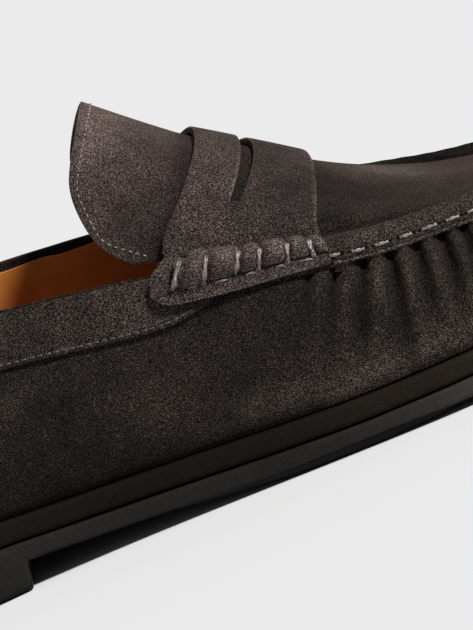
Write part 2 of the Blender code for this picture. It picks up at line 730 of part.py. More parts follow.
def put(name, solid, surface):
    points, faces = solid
    mesh = bpy.data.meshes.new(name)
    mesh.from_pydata([tuple(p * 0.001) for p in points], [], faces)
    body = bmesh.new()
    body.from_mesh(mesh)
    bmesh.ops.remove_doubles(body, verts=body.verts, dist=0.00001)
    bmesh.ops.recalc_face_normals(body, faces=body.faces)
    bmesh.ops.triangulate(body, faces=body.faces)
    body.to_mesh(mesh)
    body.free()
    mesh.shade_smooth()
    mesh.set_sharp_from_angle(angle=math.radians(35))
    mesh.materials.append(surface)
    made = bpy.data.objects.new(name, mesh)
    bpy.context.scene.collection.objects.link(made)
    return made


def centre(objects):
    """Bring the middle of the whole shoe's footprint to the origin."""
    places = np.array([v.co[:] for o in objects for v in o.data.vertices])
    low, high = places.min(axis=0), places.max(axis=0)
    shift = np.array(((low[0] + high[0]) / 2, (low[1] + high[1]) / 2, low[2]))
    for o in objects:
        for v in o.data.vertices:
            v.co = np.array(v.co) - shift


for old in list(bpy.data.objects):
    bpy.data.objects.remove(old, do_unlink=True)

rubber = material('outsole_rubber', (0.020, 0.018, 0.016), 0.45)
slip = material('midsole_rubber', (0.010, 0.009, 0.008), 0.55)
sock = material('insole_leather', (0.30, 0.14, 0.06), 0.5)
suede = material('upper_suede', (0.045, 0.033, 0.029), 0.9)
panel = material('collar_suede', (0.045, 0.033, 0.029), 0.9)
flap = material('tongue_suede', (0.055, 0.042, 0.037), 0.9)
saddle = material('strap_suede', (0.055, 0.042, 0.037), 0.9)
bound = material('roll_suede', (0.050, 0.038, 0.033), 0.9)

centre([
    put('outsole', outsole_solid(), rubber),
    put('midsole', midsole_solid(), slip),
    put('insole', insole_solid(), sock),
    put('upper', upper_solid(), suede),
    put('collar_band', collar_solid(), panel),
    put('tongue', tongue_solid(), flap),
    put('strap', strap_solid(), saddle),
    put('beef_roll_lateral', roll_solid(1), bound),
    put('beef_roll_medial', roll_solid(-1), bound),
])
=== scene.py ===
"""Right loafer in dark suede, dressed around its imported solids. Metres; toe to +X, inner side to +Y."""
import math
from collections import namedtuple

import bmesh
import bpy
import numpy as np
from mathutils import Matrix, Vector
from mathutils.bvhtree import BVHTree
from mathutils.kdtree import KDTree


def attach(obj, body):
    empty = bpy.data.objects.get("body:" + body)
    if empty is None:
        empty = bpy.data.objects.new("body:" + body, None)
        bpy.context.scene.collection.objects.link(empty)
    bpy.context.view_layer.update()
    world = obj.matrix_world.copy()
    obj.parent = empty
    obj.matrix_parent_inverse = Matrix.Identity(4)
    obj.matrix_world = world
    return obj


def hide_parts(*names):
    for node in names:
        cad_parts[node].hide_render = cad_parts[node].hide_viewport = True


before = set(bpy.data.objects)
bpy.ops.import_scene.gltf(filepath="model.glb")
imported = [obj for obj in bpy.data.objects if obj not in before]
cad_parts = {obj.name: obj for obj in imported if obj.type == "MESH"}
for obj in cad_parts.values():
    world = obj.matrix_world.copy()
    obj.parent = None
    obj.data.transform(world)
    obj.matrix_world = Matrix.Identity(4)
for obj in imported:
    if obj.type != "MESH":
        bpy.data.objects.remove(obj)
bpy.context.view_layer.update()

MM = 0.001
SIDES = (('outer', -1.0), ('inner', 1.0))   # with the sign of Y there
QUAD_ANGLE = 70.0       # triangles that meet flatter than this are joined (degrees)

# Camera of the photograph: a low side view with the shoe rolled toe up in the frame.
CAMERA_PLACE = (-0.00649, -0.76904, 0.15533)
CAMERA_TILT, CAMERA_ROLL = 9.0, 24.6
CAMERA_LENS, CAMERA_SENSOR = 186.43, 36.0

# Key light from above the toe on the outer side, and an even fill.
KEY_FROM = (0.60, -0.51, 0.60)
KEY_POWER, KEY_WIDE, FILL_POWER = 4.45, 8.0, 0.18
FLOOR_SIZE, FLOOR_LOW, FLOOR_TONE = 40.0, -0.00005, (0.80, 0.80, 0.80, 1.0)

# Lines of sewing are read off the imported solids, in millimetres.
# Shoe's middle line, from the middle of the heel's round to the middle of the toe's.
MIDDLE_REAR, MIDDLE_FRONT = -120.0, 95.0
# Fold that counts as sharp (degrees), and the hand-sewn seam above the fold under its lip.
SHARP, SEAM_OVER = 50.0, 2.8
SEAM_WIDE, SEAM_STEEP = 21.0, 0.4         # its least way from the middle line, and steepest rise
SEAM_MIDDLE = 17.0      # plan middle that the seam runs round, between the strap's ends
PLEATS_BACK = (-13.0, 0.8, 2.2)   # from the seam's outer end to the first pleat under the strap
COLLAR_OVER, COLLAR_MIDDLE = 0.9, -60.0   # row above the panel's lower edge; middle of its round
# Cut edges, by the normals of their faces: the panel's looks down, the strap's neither ahead nor aside.
EDGE_DOWN, EDGE_ASIDE, EDGE_AHEAD = -0.5, 0.6, 0.1
TONGUE_INSET = 2.3      # row inside the free edge
TONGUE_AHEAD = 10.0     # its front face looks this far ahead, and away from the middle
TONGUE_MIDDLE = 58.0    # height of the middle that the row runs round
TONGUE_LOW, TONGUE_FREE = 65.5, -15.5     # its curved part lies above and behind these
TONGUE_ENDS = ((-19.1, -34.3, 59.5), (-20.5, 32.0, 64.7))   # row's ends beside the strap
ROLL_STEPS, ROLL_FRONT, ROLL_UNDER = 12, 17.0, 0.2   # foot of the rolls, read in even lengths
# Strap's foot: its sides lie past FLANGE_SIDE, its cut edge below FLANGE_TOP.
FLANGE_SIDE, FLANGE_FRONT, FLANGE_TOP = 33.0, 16.9, {'outer': 60.5, 'inner': 64.8}
FLANGE_HALF = 0.9       # half of the strap's thickness

# Turns of thread round the strap's rolls: place of the foot along the shoe, lean of the top
# towards the toe, and both ends' heights above the roll's foot.
Turn = namedtuple('Turn', 'at lean low high')
ROLL_TURNS = [Turn(*row) for row in (
    (-17.3, 4.8, -0.35, 5.65),
    (-10.6, 3.7, -0.80, 5.55),
    (-2.9, 3.0, 0.20, 5.10),
    (2.0, 2.5, -0.55, 4.40),
    (8.6, 1.9, -0.80, 4.10),
    (14.9, 0.3, -0.10, 4.30),
)]
# Stitches that show between the turns, along the roll's foot.
ROLL_DASHES = ((-14.1, -11.8), (-8.2, -4.8), (-1.0, 1.3), (6.0, 8.0), (11.3, 14.6))
# Gathers under the seam: place along the shoe, length down the wall, depth and lean (mm).
Gather = namedtuple('Gather', 'at length depth lean')
GATHERS_IN_VIEW = [Gather(*row) for row in (
    (12.6, 14.0, 1.3, -0.60),
    (18.4, 18.0, 2.0, -0.55),
    (24.9, 24.0, 2.4, -0.46),
    (31.2, 30.0, 2.2, -0.27),
    (37.1, 20.0, 2.1, -0.22),
    (43.2, 22.0, 2.2, -0.20),
    (48.4, 20.0, 2.0, -0.20),
    (54.2, 22.0, 2.0, -0.20),
)]
# The rest follow round the toe, their lengths and depths taken in turn.
GATHERS_ROUND = ((19.0, 1.8), (24.0, 2.1), (16.0, 1.6), (22.0, 2.0), (18.0, 1.8))
GATHER_PITCH, PITCH_DRIFT, DRIFT_TURN = 5.7, 0.5, 2.4
GATHER_LEAN = -0.20
GATHERS_FROM, GATHERS_REACH, GATHERS_END = 4.0, 16.0, 2.0   # start, reach in plan, free end of the seam
GATHER_WIDE, GATHER_OPEN, GATHER_FADE = 1.15, 0.055, 1.5    # half width, its growth downwards, fading
GATHER_SWELL, SWELL_WIDE, SWELL_START, SWELL_RUN = 0.9, 1.7, 0.35, 3.0   # ridge between two gathers
# Lean of the wall below the seam (degrees): at the sides, and how much more it leans at the toe.
WALL_SLANT, TOE_SLANT, TOE_FROM, TOE_OVER = 15.0, 25.0, 60.0, 60.0
# Lip of the seam: its width, the pull under it, and where a point counts as under the seam.
LIP_WIDE, LIP_PULL, LIP_SOFT, LIP_BLEND, UNDER_SEAM = 2.3, 0.25, 1.6, 0.3, 0.6
# Tone of the gathers (painted shade in troughs and under the lip, painted light on swells), a painted
# highlight on the roll's top, and the lip's paler cut edge: strength, place and half width.
GATHER_SHADE = 0.45
RIDGE_BLOOM, RIDGE_AT, RIDGE_WIDE, RIDGE_LOW = 0.95, 3.0, 2.2, 0.3
CUT_BLOOM, CUT_AT, CUT_WIDE = 1.2, 0.25, 0.28
FAR = 99.0              # distance of what lies out of reach

# Rolled seam: pulled in at each stitch, grooved along the thread, and hollow behind its roll, with painted
# shade in the hollow.
SEAM_FROM = 18.0
PULL, PULL_WIDE, PULL_REACH = 0.30, 1.6, 7.0
GROOVE, GROOVE_FLAT, GROOVE_WIDE = 0.35, 1.2, 0.8
VALLEY, VALLEY_AT, VALLEY_WIDE, VALLEY_OVER, VALLEY_SHADE = 0.9, 6.6, 1.3, 1.0, 0.35
# Both ends of the roll drawn back to the strap: how far, from where, and the part that moves.
TUCK, TUCK_FROM, TUCK_OVER, TUCK_POWER = 1.7, 25.0, 5.0, 1.5
TUCK_ASIDE, TUCK_LOW, TUCK_HIGH = 7.0, -3.2, 8.0
# Soft dip of the apron behind its crest: middle and half sizes in plan, depth, and least height.
DIP_AT, DIP_HALF, DIP, DIP_OVER = (57.0, 11.0), (16.0, 16.0), 1.25, 33.0

# Painted shade of the wall where it turns in above the sole, and of the tongue behind the strap.
FOOT_SHADE, FOOT_TURN, LEDGE_FACING = 0.62, 3.0, 0.5
TONGUE_SHADE, TONGUE_SHADE_WIDE, TONGUE_TONE = 0.55, 4.0, 0.98
# Cut edges of strap and tongue face along the shoe by more than this, and are painted lighter as a
# highlight.
CUT_FACING, CUT_SOFT, STRAP_CUT, TONGUE_CUT = 0.62, 0.2, 2.0, 3.0

# Parts of the upper that are cut once and twice more: from, front end, top and side.
FINE_FROM, FINE_TOP, FINE_SIDE = 2.0, 53.0, 22.0
FINEST_FRONT, FINEST_TOP, FINEST_SIDE = 55.5, 51.0, -32.0
CHAMFER_CLOSED = 0.8    # share of the chamfers between the sole's layers that is closed
# Line inside the shoe that tells a wall's inner side: both ends and its height.
HEART_REAR, HEART_FRONT, HEART_HIGH = -125.0, 100.0, 27.0

# Lining: front end, topline that it stays under, trimmed part, room to the wall and thickness.
LINING_END = 8.0
TOPLINE_FACING, TOPLINE_OVER, FOOT_FACING = 0.6, 40.0, -0.99
TRIM_OVER, TRIM_BEHIND = 40.0, -12.0
LINING_ROOM, LINING_THICK = 0.35, 0.3

# Rolls drawn in under their thread: depth, half width, run past the turn, tone between turns, and its loss
# to painted shade at each turn.
PINCH, PINCH_WIDE, PINCH_PAST, PINCH_LIGHT, PINCH_LOSS = 0.75, 0.9, 0.3, 1.95, 0.95

# Suede's own tone and painted light and shade in soft patches: place (mm), half sizes and share of the tone.
UPPER_NAP_AND_PAINTED_LIGHT = (
    ((36.0, -18.0, 51.2), (20.0, 18.0, 9.0), 0.62),
    ((44.0, 8.0, 50.0), (40.0, 20.0, 13.0), 2.9),
    ((52.0, -14.0, 45.0), (14.0, 12.0, 6.0), 1.5),
    ((42.0, -2.0, 50.0), (19.0, 13.0, 8.0), 1.45),
    ((25.0, -15.0, 57.0), (4.0, 25.0, 15.0), 0.62),
    ((52.0, 37.0, 44.0), (26.0, 6.0, 9.0), 0.12),
    ((7.0, -24.0, 66.0), (9.0, 16.0, 12.0), 0.55),
    ((3.0, -42.0, 35.2), (9.0, 20.0, 9.0), 0.62),
    ((8.0, -45.0, 14.6), (15.0, 20.0, 6.5), 2.2),
    ((22.0, -48.0, 12.2), (16.0, 20.0, 6.0), 2.1),
    ((41.0, -49.0, 16.2), (13.0, 20.0, 7.0), 2.0),
    ((-10.0, -41.0, 17.6), (11.0, 20.0, 5.0), 2.0),
    ((-34.0, -37.0, 28.2), (6.0, 20.0, 8.0), 1.35),
    ((-44.0, -36.0, 37.5), (13.0, 20.0, 7.0), 0.66),
    ((-62.0, -33.0, 24.2), (26.0, 20.0, 8.0), 0.60),
    ((-36.0, -35.0, 16.2), (14.0, 20.0, 5.0), 0.62),
    ((-60.0, -34.0, 41.2), (7.0, 20.0, 6.0), 1.3),
)
STRAP_NAP_AND_PAINTED_LIGHT = (
    ((16.0, -24.0, 61.0), (8.0, 30.0, 20.0), 0.52),
    ((-4.0, -34.0, 57.0), (14.0, 16.0, 7.0), 1.15),
    ((7.0, -8.0, 77.0), (14.0, 14.0, 5.0), 1.12),
    ((-10.0, -39.0, 46.0), (14.0, 6.0, 2.6), 1.5),
    ((8.0, -41.0, 42.5), (14.0, 6.0, 2.6), 1.5),
)
TONGUE_NAP_AND_PAINTED_LIGHT = (
    ((-16.0, -12.0, 92.0), (15.0, 14.0, 8.0), 2.1),
    ((-19.0, -25.0, 84.0), (6.0, 14.0, 9.0), 1.35),
    ((-4.0, -24.0, 74.0), (6.0, 20.0, 16.0), 0.75),
    ((-13.0, -32.0, 64.0), (9.0, 16.0, 9.0), 0.80),
)

# Lighter and darker places of the sole, given the same way.
OUTSOLE_TONE = (
    ((40.0, -47.0, 5.0), (34.0, 40.0, 20.0), 1.7),
    ((38.0, -47.0, 5.0), (14.0, 40.0, 20.0), 1.5),
    ((-118.0, 0.0, 6.0), (34.0, 60.0, 30.0), 0.62),
)
MIDSOLE_TONE = (
    ((44.0, -47.0, 9.0), (26.0, 40.0, 20.0), 2.1),
    ((10.0, -47.0, 9.0), (34.0, 40.0, 20.0), 1.6),
)

# First stitches of the hand-sewn seam, from and to along the shoe; the rest follow evenly.
SEAM_IN_VIEW = ((17.8, 20.7), (23.1, 26.2), (28.4, 31.7), (34.2, 37.2), (39.4, 43.2), (45.2, 48.6),
                (50.4, 53.9))
SEAM_PITCH, SEAM_STITCH = 5.45, 3.5
COLLAR_PITCH, COLLAR_STITCH = 1.9, 1.25
TONGUE_PITCH, TONGUE_STITCH, TONGUE_END = 1.75, 0.85, 1.3
ROW_START = 0.5
# Thickness of each thread, and the parts of a two-ply thread as shares of it.
SEAM_THREAD, ROLL_THREAD, DASH_THREAD, COLLAR_THREAD, TONGUE_THREAD = 0.82, 1.30, 0.55, 0.36, 0.42
PLY_HALF, PLY_APART, PLY_END, PLY_TAPER = 0.30, 0.26, 0.55, 6.0
# Lift of each thread over the suede in its middle, how far its ends sink from there, and how abruptly.
SEAM_LIFT, COLLAR_LIFT, TONGUE_LIFT = (0.30, 0.42, 4), (0.10, 0.14, 4), (0.12, 0.25, 4)
TURN_LIFT, DASH_LIFT = (0.26, 0.75, 8), (0.16, 0.40, 6)
DASH_LOW, DASH_TONE, ROLL_RISE = -0.45, 0.6, 0.35
# Tone of the turns over their height, painted shade at the ends and a painted highlight in the upper middle:
# least, gain, middle and half width.
TURN_HIGH, TURN_TONE, TURN_GAIN, TURN_LIGHT_AT, TURN_LIGHT_WIDE = 5.0, 0.30, 0.95, 0.75, 0.42
# Needle holes past both ends of a seam stitch, dark beads of painted shade: distance, half width, depth and
# narrowness.
HOLE_PAST, HOLE_WIDE, HOLE_DEEP, HOLE_NARROW = 0.35, 0.75, 0.28, 0.55

# Loose fibres: step along the edge, drop below the sewing line with its spread, length and thickness.
SEAM_FIBRES, SEAM_DROP, SEAM_FIBRE = 0.14, (-1.3, 0.15), (0.5, 0.07)
COLLAR_FIBRES, COLLAR_DROP, COLLAR_FIBRE = 0.12, (-1.25, 0.12), (0.32, 0.06)
FLANGE_FIBRES, FLANGE_SPREAD, FLANGE_FIBRE = 0.075, 0.25, (0.5, 0.07)
FLANGE_AWAY, FLANGE_HIGH = 30.0, 52.0     # middle that the strap's fibres point away from
FRINGE_END, FLANGE_END = 0.4, 0.3
# Their lean: out from the surface, and down or away from the edge.
SEAM_FIBRE_OUT, SEAM_FIBRE_DOWN, COLLAR_FIBRE_DOWN = 0.6, 0.7, 0.5
FLANGE_FIBRE_OUT, FLANGE_FIBRE_AWAY = 0.9, 0.5
SEAM_FIBRE_RISE, COLLAR_FIBRE_RISE = 0.1, -0.2     # rise of the way that they are looked up from
FIBRE_SPREAD, FIBRE_ROOT, FIBRE_SHORT, FIBRE_LONG = 0.42, 0.15, 0.4, 1.2
UP = np.array((0.0, 0.0, 1.0))


def only(piece):
    """Leaves this piece alone selected and active."""
    bpy.ops.object.select_all(action='DESELECT')
    piece.select_set(True)
    bpy.context.view_layer.objects.active = piece


def edit(piece):
    """Opens a piece in edit mode with all of it selected."""
    only(piece)
    bpy.ops.object.mode_set(mode='EDIT')
    bpy.ops.mesh.select_all(action='SELECT')


def done():
    """Leaves edit mode."""
    bpy.ops.object.mode_set(mode='OBJECT')


def choose_faces(piece, chosen):
    """Opens a piece in edit mode with only the chosen faces selected."""
    edit(piece)
    bpy.ops.mesh.select_all(action='DESELECT')
    bpy.ops.mesh.select_mode(type='FACE')
    done()
    piece.data.polygons.foreach_set('select', chosen)
    bpy.ops.object.mode_set(mode='EDIT')


def pattern_from(node, name):
    """Working copy of a solid, its loose triangles merged back into quads."""
    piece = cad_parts[node].copy()
    piece.data = piece.data.copy()
    piece.name = piece.data.name = name
    piece.parent = None
    piece.data.materials.clear()
    bpy.context.scene.collection.objects.link(piece)
    piece.hide_render = piece.hide_viewport = False
    piece.hide_set(False)
    edit(piece)
    bpy.ops.mesh.remove_doubles(threshold=0.01 * MM)
    bpy.ops.mesh.customdata_custom_splitnormals_clear()
    flat = math.radians(QUAD_ANGLE)
    bpy.ops.mesh.tris_convert_to_quads(face_threshold=flat, shape_threshold=flat)
    bpy.ops.mesh.select_all(action='SELECT')
    bpy.ops.mesh.mark_sharp(clear=True)
    done()
    return piece


def hold_edges(piece, angle, crease):
    """Cut edges keep their line when the piece is smoothed."""
    edit(piece)
    bpy.ops.mesh.select_all(action='DESELECT')
    bpy.ops.mesh.select_mode(type='EDGE')
    bpy.ops.mesh.edges_select_sharp(sharpness=math.radians(angle))
    bpy.ops.transform.edge_crease(value=crease)
    bpy.ops.mesh.select_mode(type='VERT')
    done()


def smooth(piece):
    """Two rounds of smoothing."""
    only(piece)
    bpy.ops.object.modifier_add(type='SUBSURF')
    made = piece.modifiers[-1]
    made.levels = made.render_levels = 2
    bpy.ops.object.modifier_apply(modifier=made.name)
    bpy.ops.object.shade_smooth()


def soften(piece, angle, crease):
    """Smooths a piece and keeps the edges that are sharper than the angle."""
    hold_edges(piece, angle, crease)
    smooth(piece)


def tree_of(points):
    """Search tree over points."""
    tree = KDTree(len(points))
    for k, point in enumerate(points):
        tree.insert(point, k)
    tree.balance()
    return tree


def in_plan(points):
    """Points moved down onto the plan."""
    return np.column_stack((points[:, :2], np.zeros(len(points))))


def tighten(piece, reach, share):
    """Brings each outer corner of a chamfer towards its neighbour, so the joint closes to a fine line."""
    spots, _ = places(piece)
    near = tree_of(spots)
    wide = [np.linalg.norm(off_middle(spot)) for spot in spots]
    moved = spots.copy()
    for k, spot in enumerate(spots):
        for _, other, _ in near.find_range(Vector(spot), reach):
            if other != k and wide[k] > wide[other]:
                moved[k, 2] += share * (spots[other, 2] - spot[2])
    set_places(piece, moved)


def places(piece):
    """Vertices and their normals in millimetres."""
    count = len(piece.data.vertices)
    spots, facing = np.empty(count * 3), np.empty(count * 3)
    piece.data.vertices.foreach_get('co', spots)
    piece.data.vertex_normals.foreach_get('vector', facing)
    return spots.reshape(-1, 3) / MM, facing.reshape(-1, 3)


def set_places(piece, spots):
    """Moves the vertices to these places."""
    piece.data.vertices.foreach_set('co', (spots * MM).ravel())
    piece.data.update()


def faces_of(piece):
    """Middles of the faces in millimetres, and their normals."""
    count = len(piece.data.polygons)
    middles, facing = np.empty(count * 3), np.empty(count * 3)
    piece.data.polygons.foreach_get('center', middles)
    piece.data.polygons.foreach_get('normal', facing)
    return middles.reshape(-1, 3) / MM, facing.reshape(-1, 3)


def off_middle(spot):
    """Way in plan from the shoe's middle line to a spot."""
    return np.array((spot[0] - min(max(spot[0], MIDDLE_REAR), MIDDLE_FRONT), spot[1]))


def surface_of(*pieces):
    """Search tree over the faces of finished pieces."""
    points, faces = [], []
    for piece in pieces:
        base = len(points)
        points += [v.co / MM for v in piece.data.vertices]
        faces += [[base + i for i in p.vertices] for p in piece.data.polygons]
    return BVHTree.FromPolygons(points, faces)


class Line:
    """Smooth line through the given rows, read by its length in millimetres."""

    def __init__(self, rows, step=0.25):
        rows = np.array(rows, float)
        ends = np.vstack((2 * rows[0] - rows[1], rows, 2 * rows[-1] - rows[-2]))
        spots = []
        for a, b, c, d in zip(ends, ends[1:], ends[2:], ends[3:]):
            count = max(int(np.linalg.norm(c - b) / step), 1)
            for t in np.arange(count) / count:
                spots.append(0.5 * (2 * b + (c - a) * t + (2 * a - 5 * b + 4 * c - d) * t ** 2
                                    + (3 * b - a - 3 * c + d) * t ** 3))
        self.spots = np.array(spots + [rows[-1]])
        steps = np.linalg.norm(np.diff(self.spots, axis=0), axis=1)
        self.marks = np.concatenate(([0.0], np.cumsum(steps)))
        self.length = self.marks[-1]

    def at(self, mark):
        """Spot at a length along the line."""
        return np.array([np.interp(mark, self.marks, self.spots[:, k]) for k in range(3)]).T

    def at_x(self, x):
        """Spot at a place along the shoe, for a line from rear to front."""
        return self.at(float(np.interp(x, self.spots[:, 0], self.marks)))

    def outward(self, mark, rise):
        """Direction away from the shoe, across the line in plan, lifted by the rise."""
        way = self.at(mark + 0.5) - self.at(mark - 0.5)
        spot = self.at(mark)
        out = unit(np.array((way[1], -way[0], 0.0)))
        if np.dot(out[:2], off_middle(spot)) < 0.0:
            out = -out
        return unit(out + UP * rise)


def round_order(spots, middle, across, ahead):
    """Spots put in order round a middle, by their turn from the way ahead."""
    turn = np.arctan2(spots[:, across[0]] - middle[0], ahead * (spots[:, across[1]] - middle[1]))
    return spots[np.argsort(turn)]


def seam_rows(upper):
    """Hand-sewn seam round the apron, from the strap's outer end over the toe to its inner end."""
    body = bmesh.new()
    body.from_mesh(upper.data)
    found = {}
    for fold in body.edges:
        if not fold.is_manifold or fold.calc_face_angle_signed() > -math.radians(SHARP):
            continue
        run = fold.verts[1].co - fold.verts[0].co
        wall = min(fold.link_faces, key=lambda f: f.calc_center_median().z)
        away = off_middle(wall.calc_center_median() / MM)
        outside = np.linalg.norm(away) > SEAM_WIDE and np.dot(wall.normal[:2], away) > 0.0
        if outside and abs(run.z) < SEAM_STEEP * run.length:
            up = (Vector(UP) - wall.normal * wall.normal.z).normalized()
            for corner in fold.verts:
                found.setdefault(corner.index, []).append(corner.co / MM + up * SEAM_OVER)
    body.free()
    rows = np.array([np.mean(spots, axis=0) for spots in found.values()])
    rows = round_order(rows, (0.0, SEAM_MIDDLE), (1, 0), 1.0)
    # The solid's short step at both ends is left out, so that the line runs evenly.
    return np.vstack((rows[:1], rows[2:-2], rows[-1:]))


def collar_rows(collar, wall):
    """Row above the collar panel's lower edge, from the outer strap end round the heel."""
    middles, facing = faces_of(collar)
    lower = middles[facing[:, 2] < EDGE_DOWN]
    rows = np.array([wall.find_nearest(Vector(spot))[0] for spot in lower])
    return round_order(rows, (0.0, COLLAR_MIDDLE), (1, 0), -1.0) + UP * COLLAR_OVER


def tongue_rows(tongue):
    """Row inside the tongue's free edge, on its front face, from the outer to the inner side."""
    body = bmesh.new()
    body.from_mesh(tongue.data)
    border = {corner for fold in body.edges if fold.calc_face_angle_signed() > math.radians(SHARP)
              for corner in fold.verts}
    rows = []
    for corner in border:
        near = [other for other in (e.other_vert(corner) for e in corner.link_edges) if other not in border]
        away = Vector((TONGUE_AHEAD, corner.co.y / MM, 0.0))
        if near and away.dot(sum((other.normal for other in near), Vector())) > 0.0:
            inwards = sum((other.co for other in near), Vector()) / len(near) - corner.co
            rows.append(corner.co / MM + inwards.normalized() * TONGUE_INSET)
    body.free()
    rows = np.array([row for row in rows if row[2] > TONGUE_LOW and row[0] < TONGUE_FREE])
    rows = round_order(rows, (TONGUE_MIDDLE, 0.0), (2, 1), 1.0)[::-1]
    return np.vstack((TONGUE_ENDS[:1], rows, TONGUE_ENDS[1:]))


def roll_rows(roll, wall):
    """Foot of a roll on the wall, from rear to front, carried on by one step at both ends."""
    spots, _ = places(roll)
    marks = np.linspace(spots[:, 0].min(), ROLL_FRONT, ROLL_STEPS + 1)
    rows = []
    for first, last in zip(marks, marks[1:]):
        near = spots[(spots[:, 0] >= first) & (spots[:, 0] < last)]
        rows.append(wall.find_nearest(Vector(near[np.argmin(near[:, 2])]))[0])
    rows = np.array(rows) - UP * ROLL_UNDER
    return np.vstack((2 * rows[:1] - rows[1:2], rows, 2 * rows[-1:] - rows[-2:-1]))


def flange_rows(strap, side, way):
    """Cut edge of the strap's foot, from its rear edge round to the front."""
    at, facing = faces_of(strap)
    cut = (np.abs(facing[:, 1]) < EDGE_ASIDE) & (facing[:, 0] < EDGE_AHEAD) & (at[:, 1] * way > FLANGE_SIDE)
    rows = at[cut & (at[:, 2] < FLANGE_TOP[side]) & (at[:, 0] < FLANGE_FRONT)]
    rows = round_order(rows, (FLANGE_TOP[side], 0.0), (2, 0), 1.0)
    return rows + np.array((0.0, way * FLANGE_HALF, 0.0))


def lay(tree, spot, outward, reach=9.0):
    """Point of a surface met from outside, with its normal."""
    hit, normal, _, _ = tree.ray_cast(Vector(spot + outward * reach), Vector(-outward), 2 * reach)
    return touched(tree, spot) if hit is None else (np.array(hit), np.array(normal))


def touched(tree, spot):
    """Nearest point of a surface, with its normal."""
    hit, normal, _, _ = tree.find_nearest(Vector(spot))
    return np.array(hit), np.array(normal)


def sew(name, stitches, thick, turns, flat=0.5):
    """Two-ply thread along short paths: each stitch is (points, normals)."""
    thread = bpy.data.curves.new(name, 'CURVE')
    thread.dimensions = '3D'
    thread.bevel_depth = thick * PLY_HALF * MM
    thread.bevel_resolution = 1
    thread.use_fill_caps = True
    for points, normals in stitches:
        way = np.gradient(points, axis=0)
        way /= np.linalg.norm(way, axis=1)[:, None]
        across = np.cross(way, normals)
        share = np.linspace(0.0, 1.0, len(points))
        for ply in (0.0, math.pi):
            angle = ply + math.pi * 2 * turns * share
            offset = (across * np.cos(angle)[:, None] + normals * (np.sin(angle) * flat)[:, None])
            spots = points + offset * thick * PLY_APART
            strand = thread.splines.new('POLY')
            strand.points.add(len(spots) - 1)
            for p, spot, t in zip(strand.points, spots, share):
                p.co = (*(spot * MM), 1.0)
                p.radius = PLY_END + (1.0 - PLY_END) * min(1.0, PLY_TAPER * t, PLY_TAPER * (1 - t))
    piece = bpy.data.objects.new(name, thread)
    bpy.context.scene.collection.objects.link(piece)
    only(piece)
    bpy.ops.object.convert(target='MESH')
    piece = bpy.context.object
    bpy.ops.object.shade_smooth()
    return piece


def stitch(touch, lift, count):
    """One stitch, as points and normals: touch gives the surface at each share of its length."""
    top, sink, power = lift
    points, normals = [], []
    for t in np.linspace(0.0, 1.0, count):
        spot, normal = touch(t)
        points.append(spot + normal * (top - sink * (2 * t - 1) ** power))
        normals.append(normal)
    return np.array(points), np.array(normals)


def running(line, tree, spans, lift, rise, count=9):
    """Stitches laid along a line, sinking into the suede at their ends."""
    made = []
    for first, last in spans:
        def touch(t):
            along = first + (last - first) * t
            return lay(tree, line.at(along), line.outward(along, rise))
        made.append(stitch(touch, lift, count))
    return made


def even_spans(first, last, pitch, length):
    """Stitches of one length at an even pitch."""
    return [(mark, mark + length) for mark in np.arange(first, last - length, pitch)]


def seam_spans(line):
    """Stitches of the hand-sewn seam as marks along its line."""
    half = len(line.spots) // 2
    made = [tuple(np.interp(span, line.spots[:half, 0], line.marks[:half])) for span in SEAM_IN_VIEW]
    return made + even_spans(made[-1][1] + SEAM_PITCH - SEAM_STITCH, line.length, SEAM_PITCH, SEAM_STITCH)


def unit(way):
    """The same direction at length one."""
    return way / np.linalg.norm(way)


def from_arrays(name, points, faces):
    """Object of one joined mesh, sizes in millimetres."""
    mesh = bpy.data.meshes.new(name)
    mesh.from_pydata([tuple(p * MM) for p in points], [], faces)
    mesh.validate()
    piece = bpy.data.objects.new(name, mesh)
    bpy.context.scene.collection.objects.link(piece)
    return piece


def fuzz(name, roots, seed, tall, thick):
    """Loose fibres on a cut edge: a thin spike at each root, given as a spot and a direction."""
    chance = np.random.default_rng(seed)
    points, faces = [], []
    for spot, way in roots:
        lean = unit(way + chance.normal(0.0, FIBRE_SPREAD, 3))
        side = unit(np.cross(lean, chance.normal(size=3)))
        other = np.cross(lean, side)
        base = len(points)
        for k in range(3):
            turn = 2 * math.pi * k / 3
            ring = side * math.cos(turn) + other * math.sin(turn)
            points.append(spot - lean * FIBRE_ROOT + ring * thick)
        points.append(spot + lean * tall * chance.uniform(FIBRE_SHORT, FIBRE_LONG))
        faces += [(base, base + 1, base + 3), (base + 1, base + 2, base + 3), (base + 2, base, base + 3),
                  (base + 2, base + 1, base)]
    return from_arrays(name, points, faces)


def dimples(name, spots, wide, deep):
    """Needle holes: a small flattened dark bead, painted shade of the hole, pressed in at each spot, given
    with its normal and run.
    """
    bpy.ops.mesh.primitive_uv_sphere_add(segments=10, ring_count=6, radius=1.0)
    bead = bpy.context.object
    shape = np.array([v.co[:] for v in bead.data.vertices])
    sides = [tuple(p.vertices) for p in bead.data.polygons]
    bpy.data.objects.remove(bead, do_unlink=True)
    points, faces = [], []
    for spot, normal, run in spots:
        across = unit(np.cross(normal, run))
        base = len(points)
        points += list(spot + shape[:, :1] * run * wide + shape[:, 1:2] * across * wide * HOLE_NARROW
                       + shape[:, 2:] * normal * deep)
        faces += [tuple(base + i for i in side) for side in sides]
    return from_arrays(name, points, faces)


def fringe(line, face, step, rise, drop, chance, lean):
    """Roots of fibres below a line of sewing; lean gives their way from the normal and the way out."""
    roots = []
    for mark in np.arange(FRINGE_END, line.length - FRINGE_END, step):
        out = line.outward(mark, rise)
        spot, normal = lay(face, line.at(mark) + UP * chance.normal(*drop), out)
        roots.append((spot, unit(lean(normal, out))))
    return roots


def inner_side(spots, facing):
    """True where a wall's point faces the room for the foot."""
    heart = np.zeros_like(spots)
    heart[:, 0] = np.clip(spots[:, 0], HEART_REAR, HEART_FRONT)
    heart[:, 2] = HEART_HIGH
    return np.einsum('ij,ij->i', heart - spots, facing) > 0.0


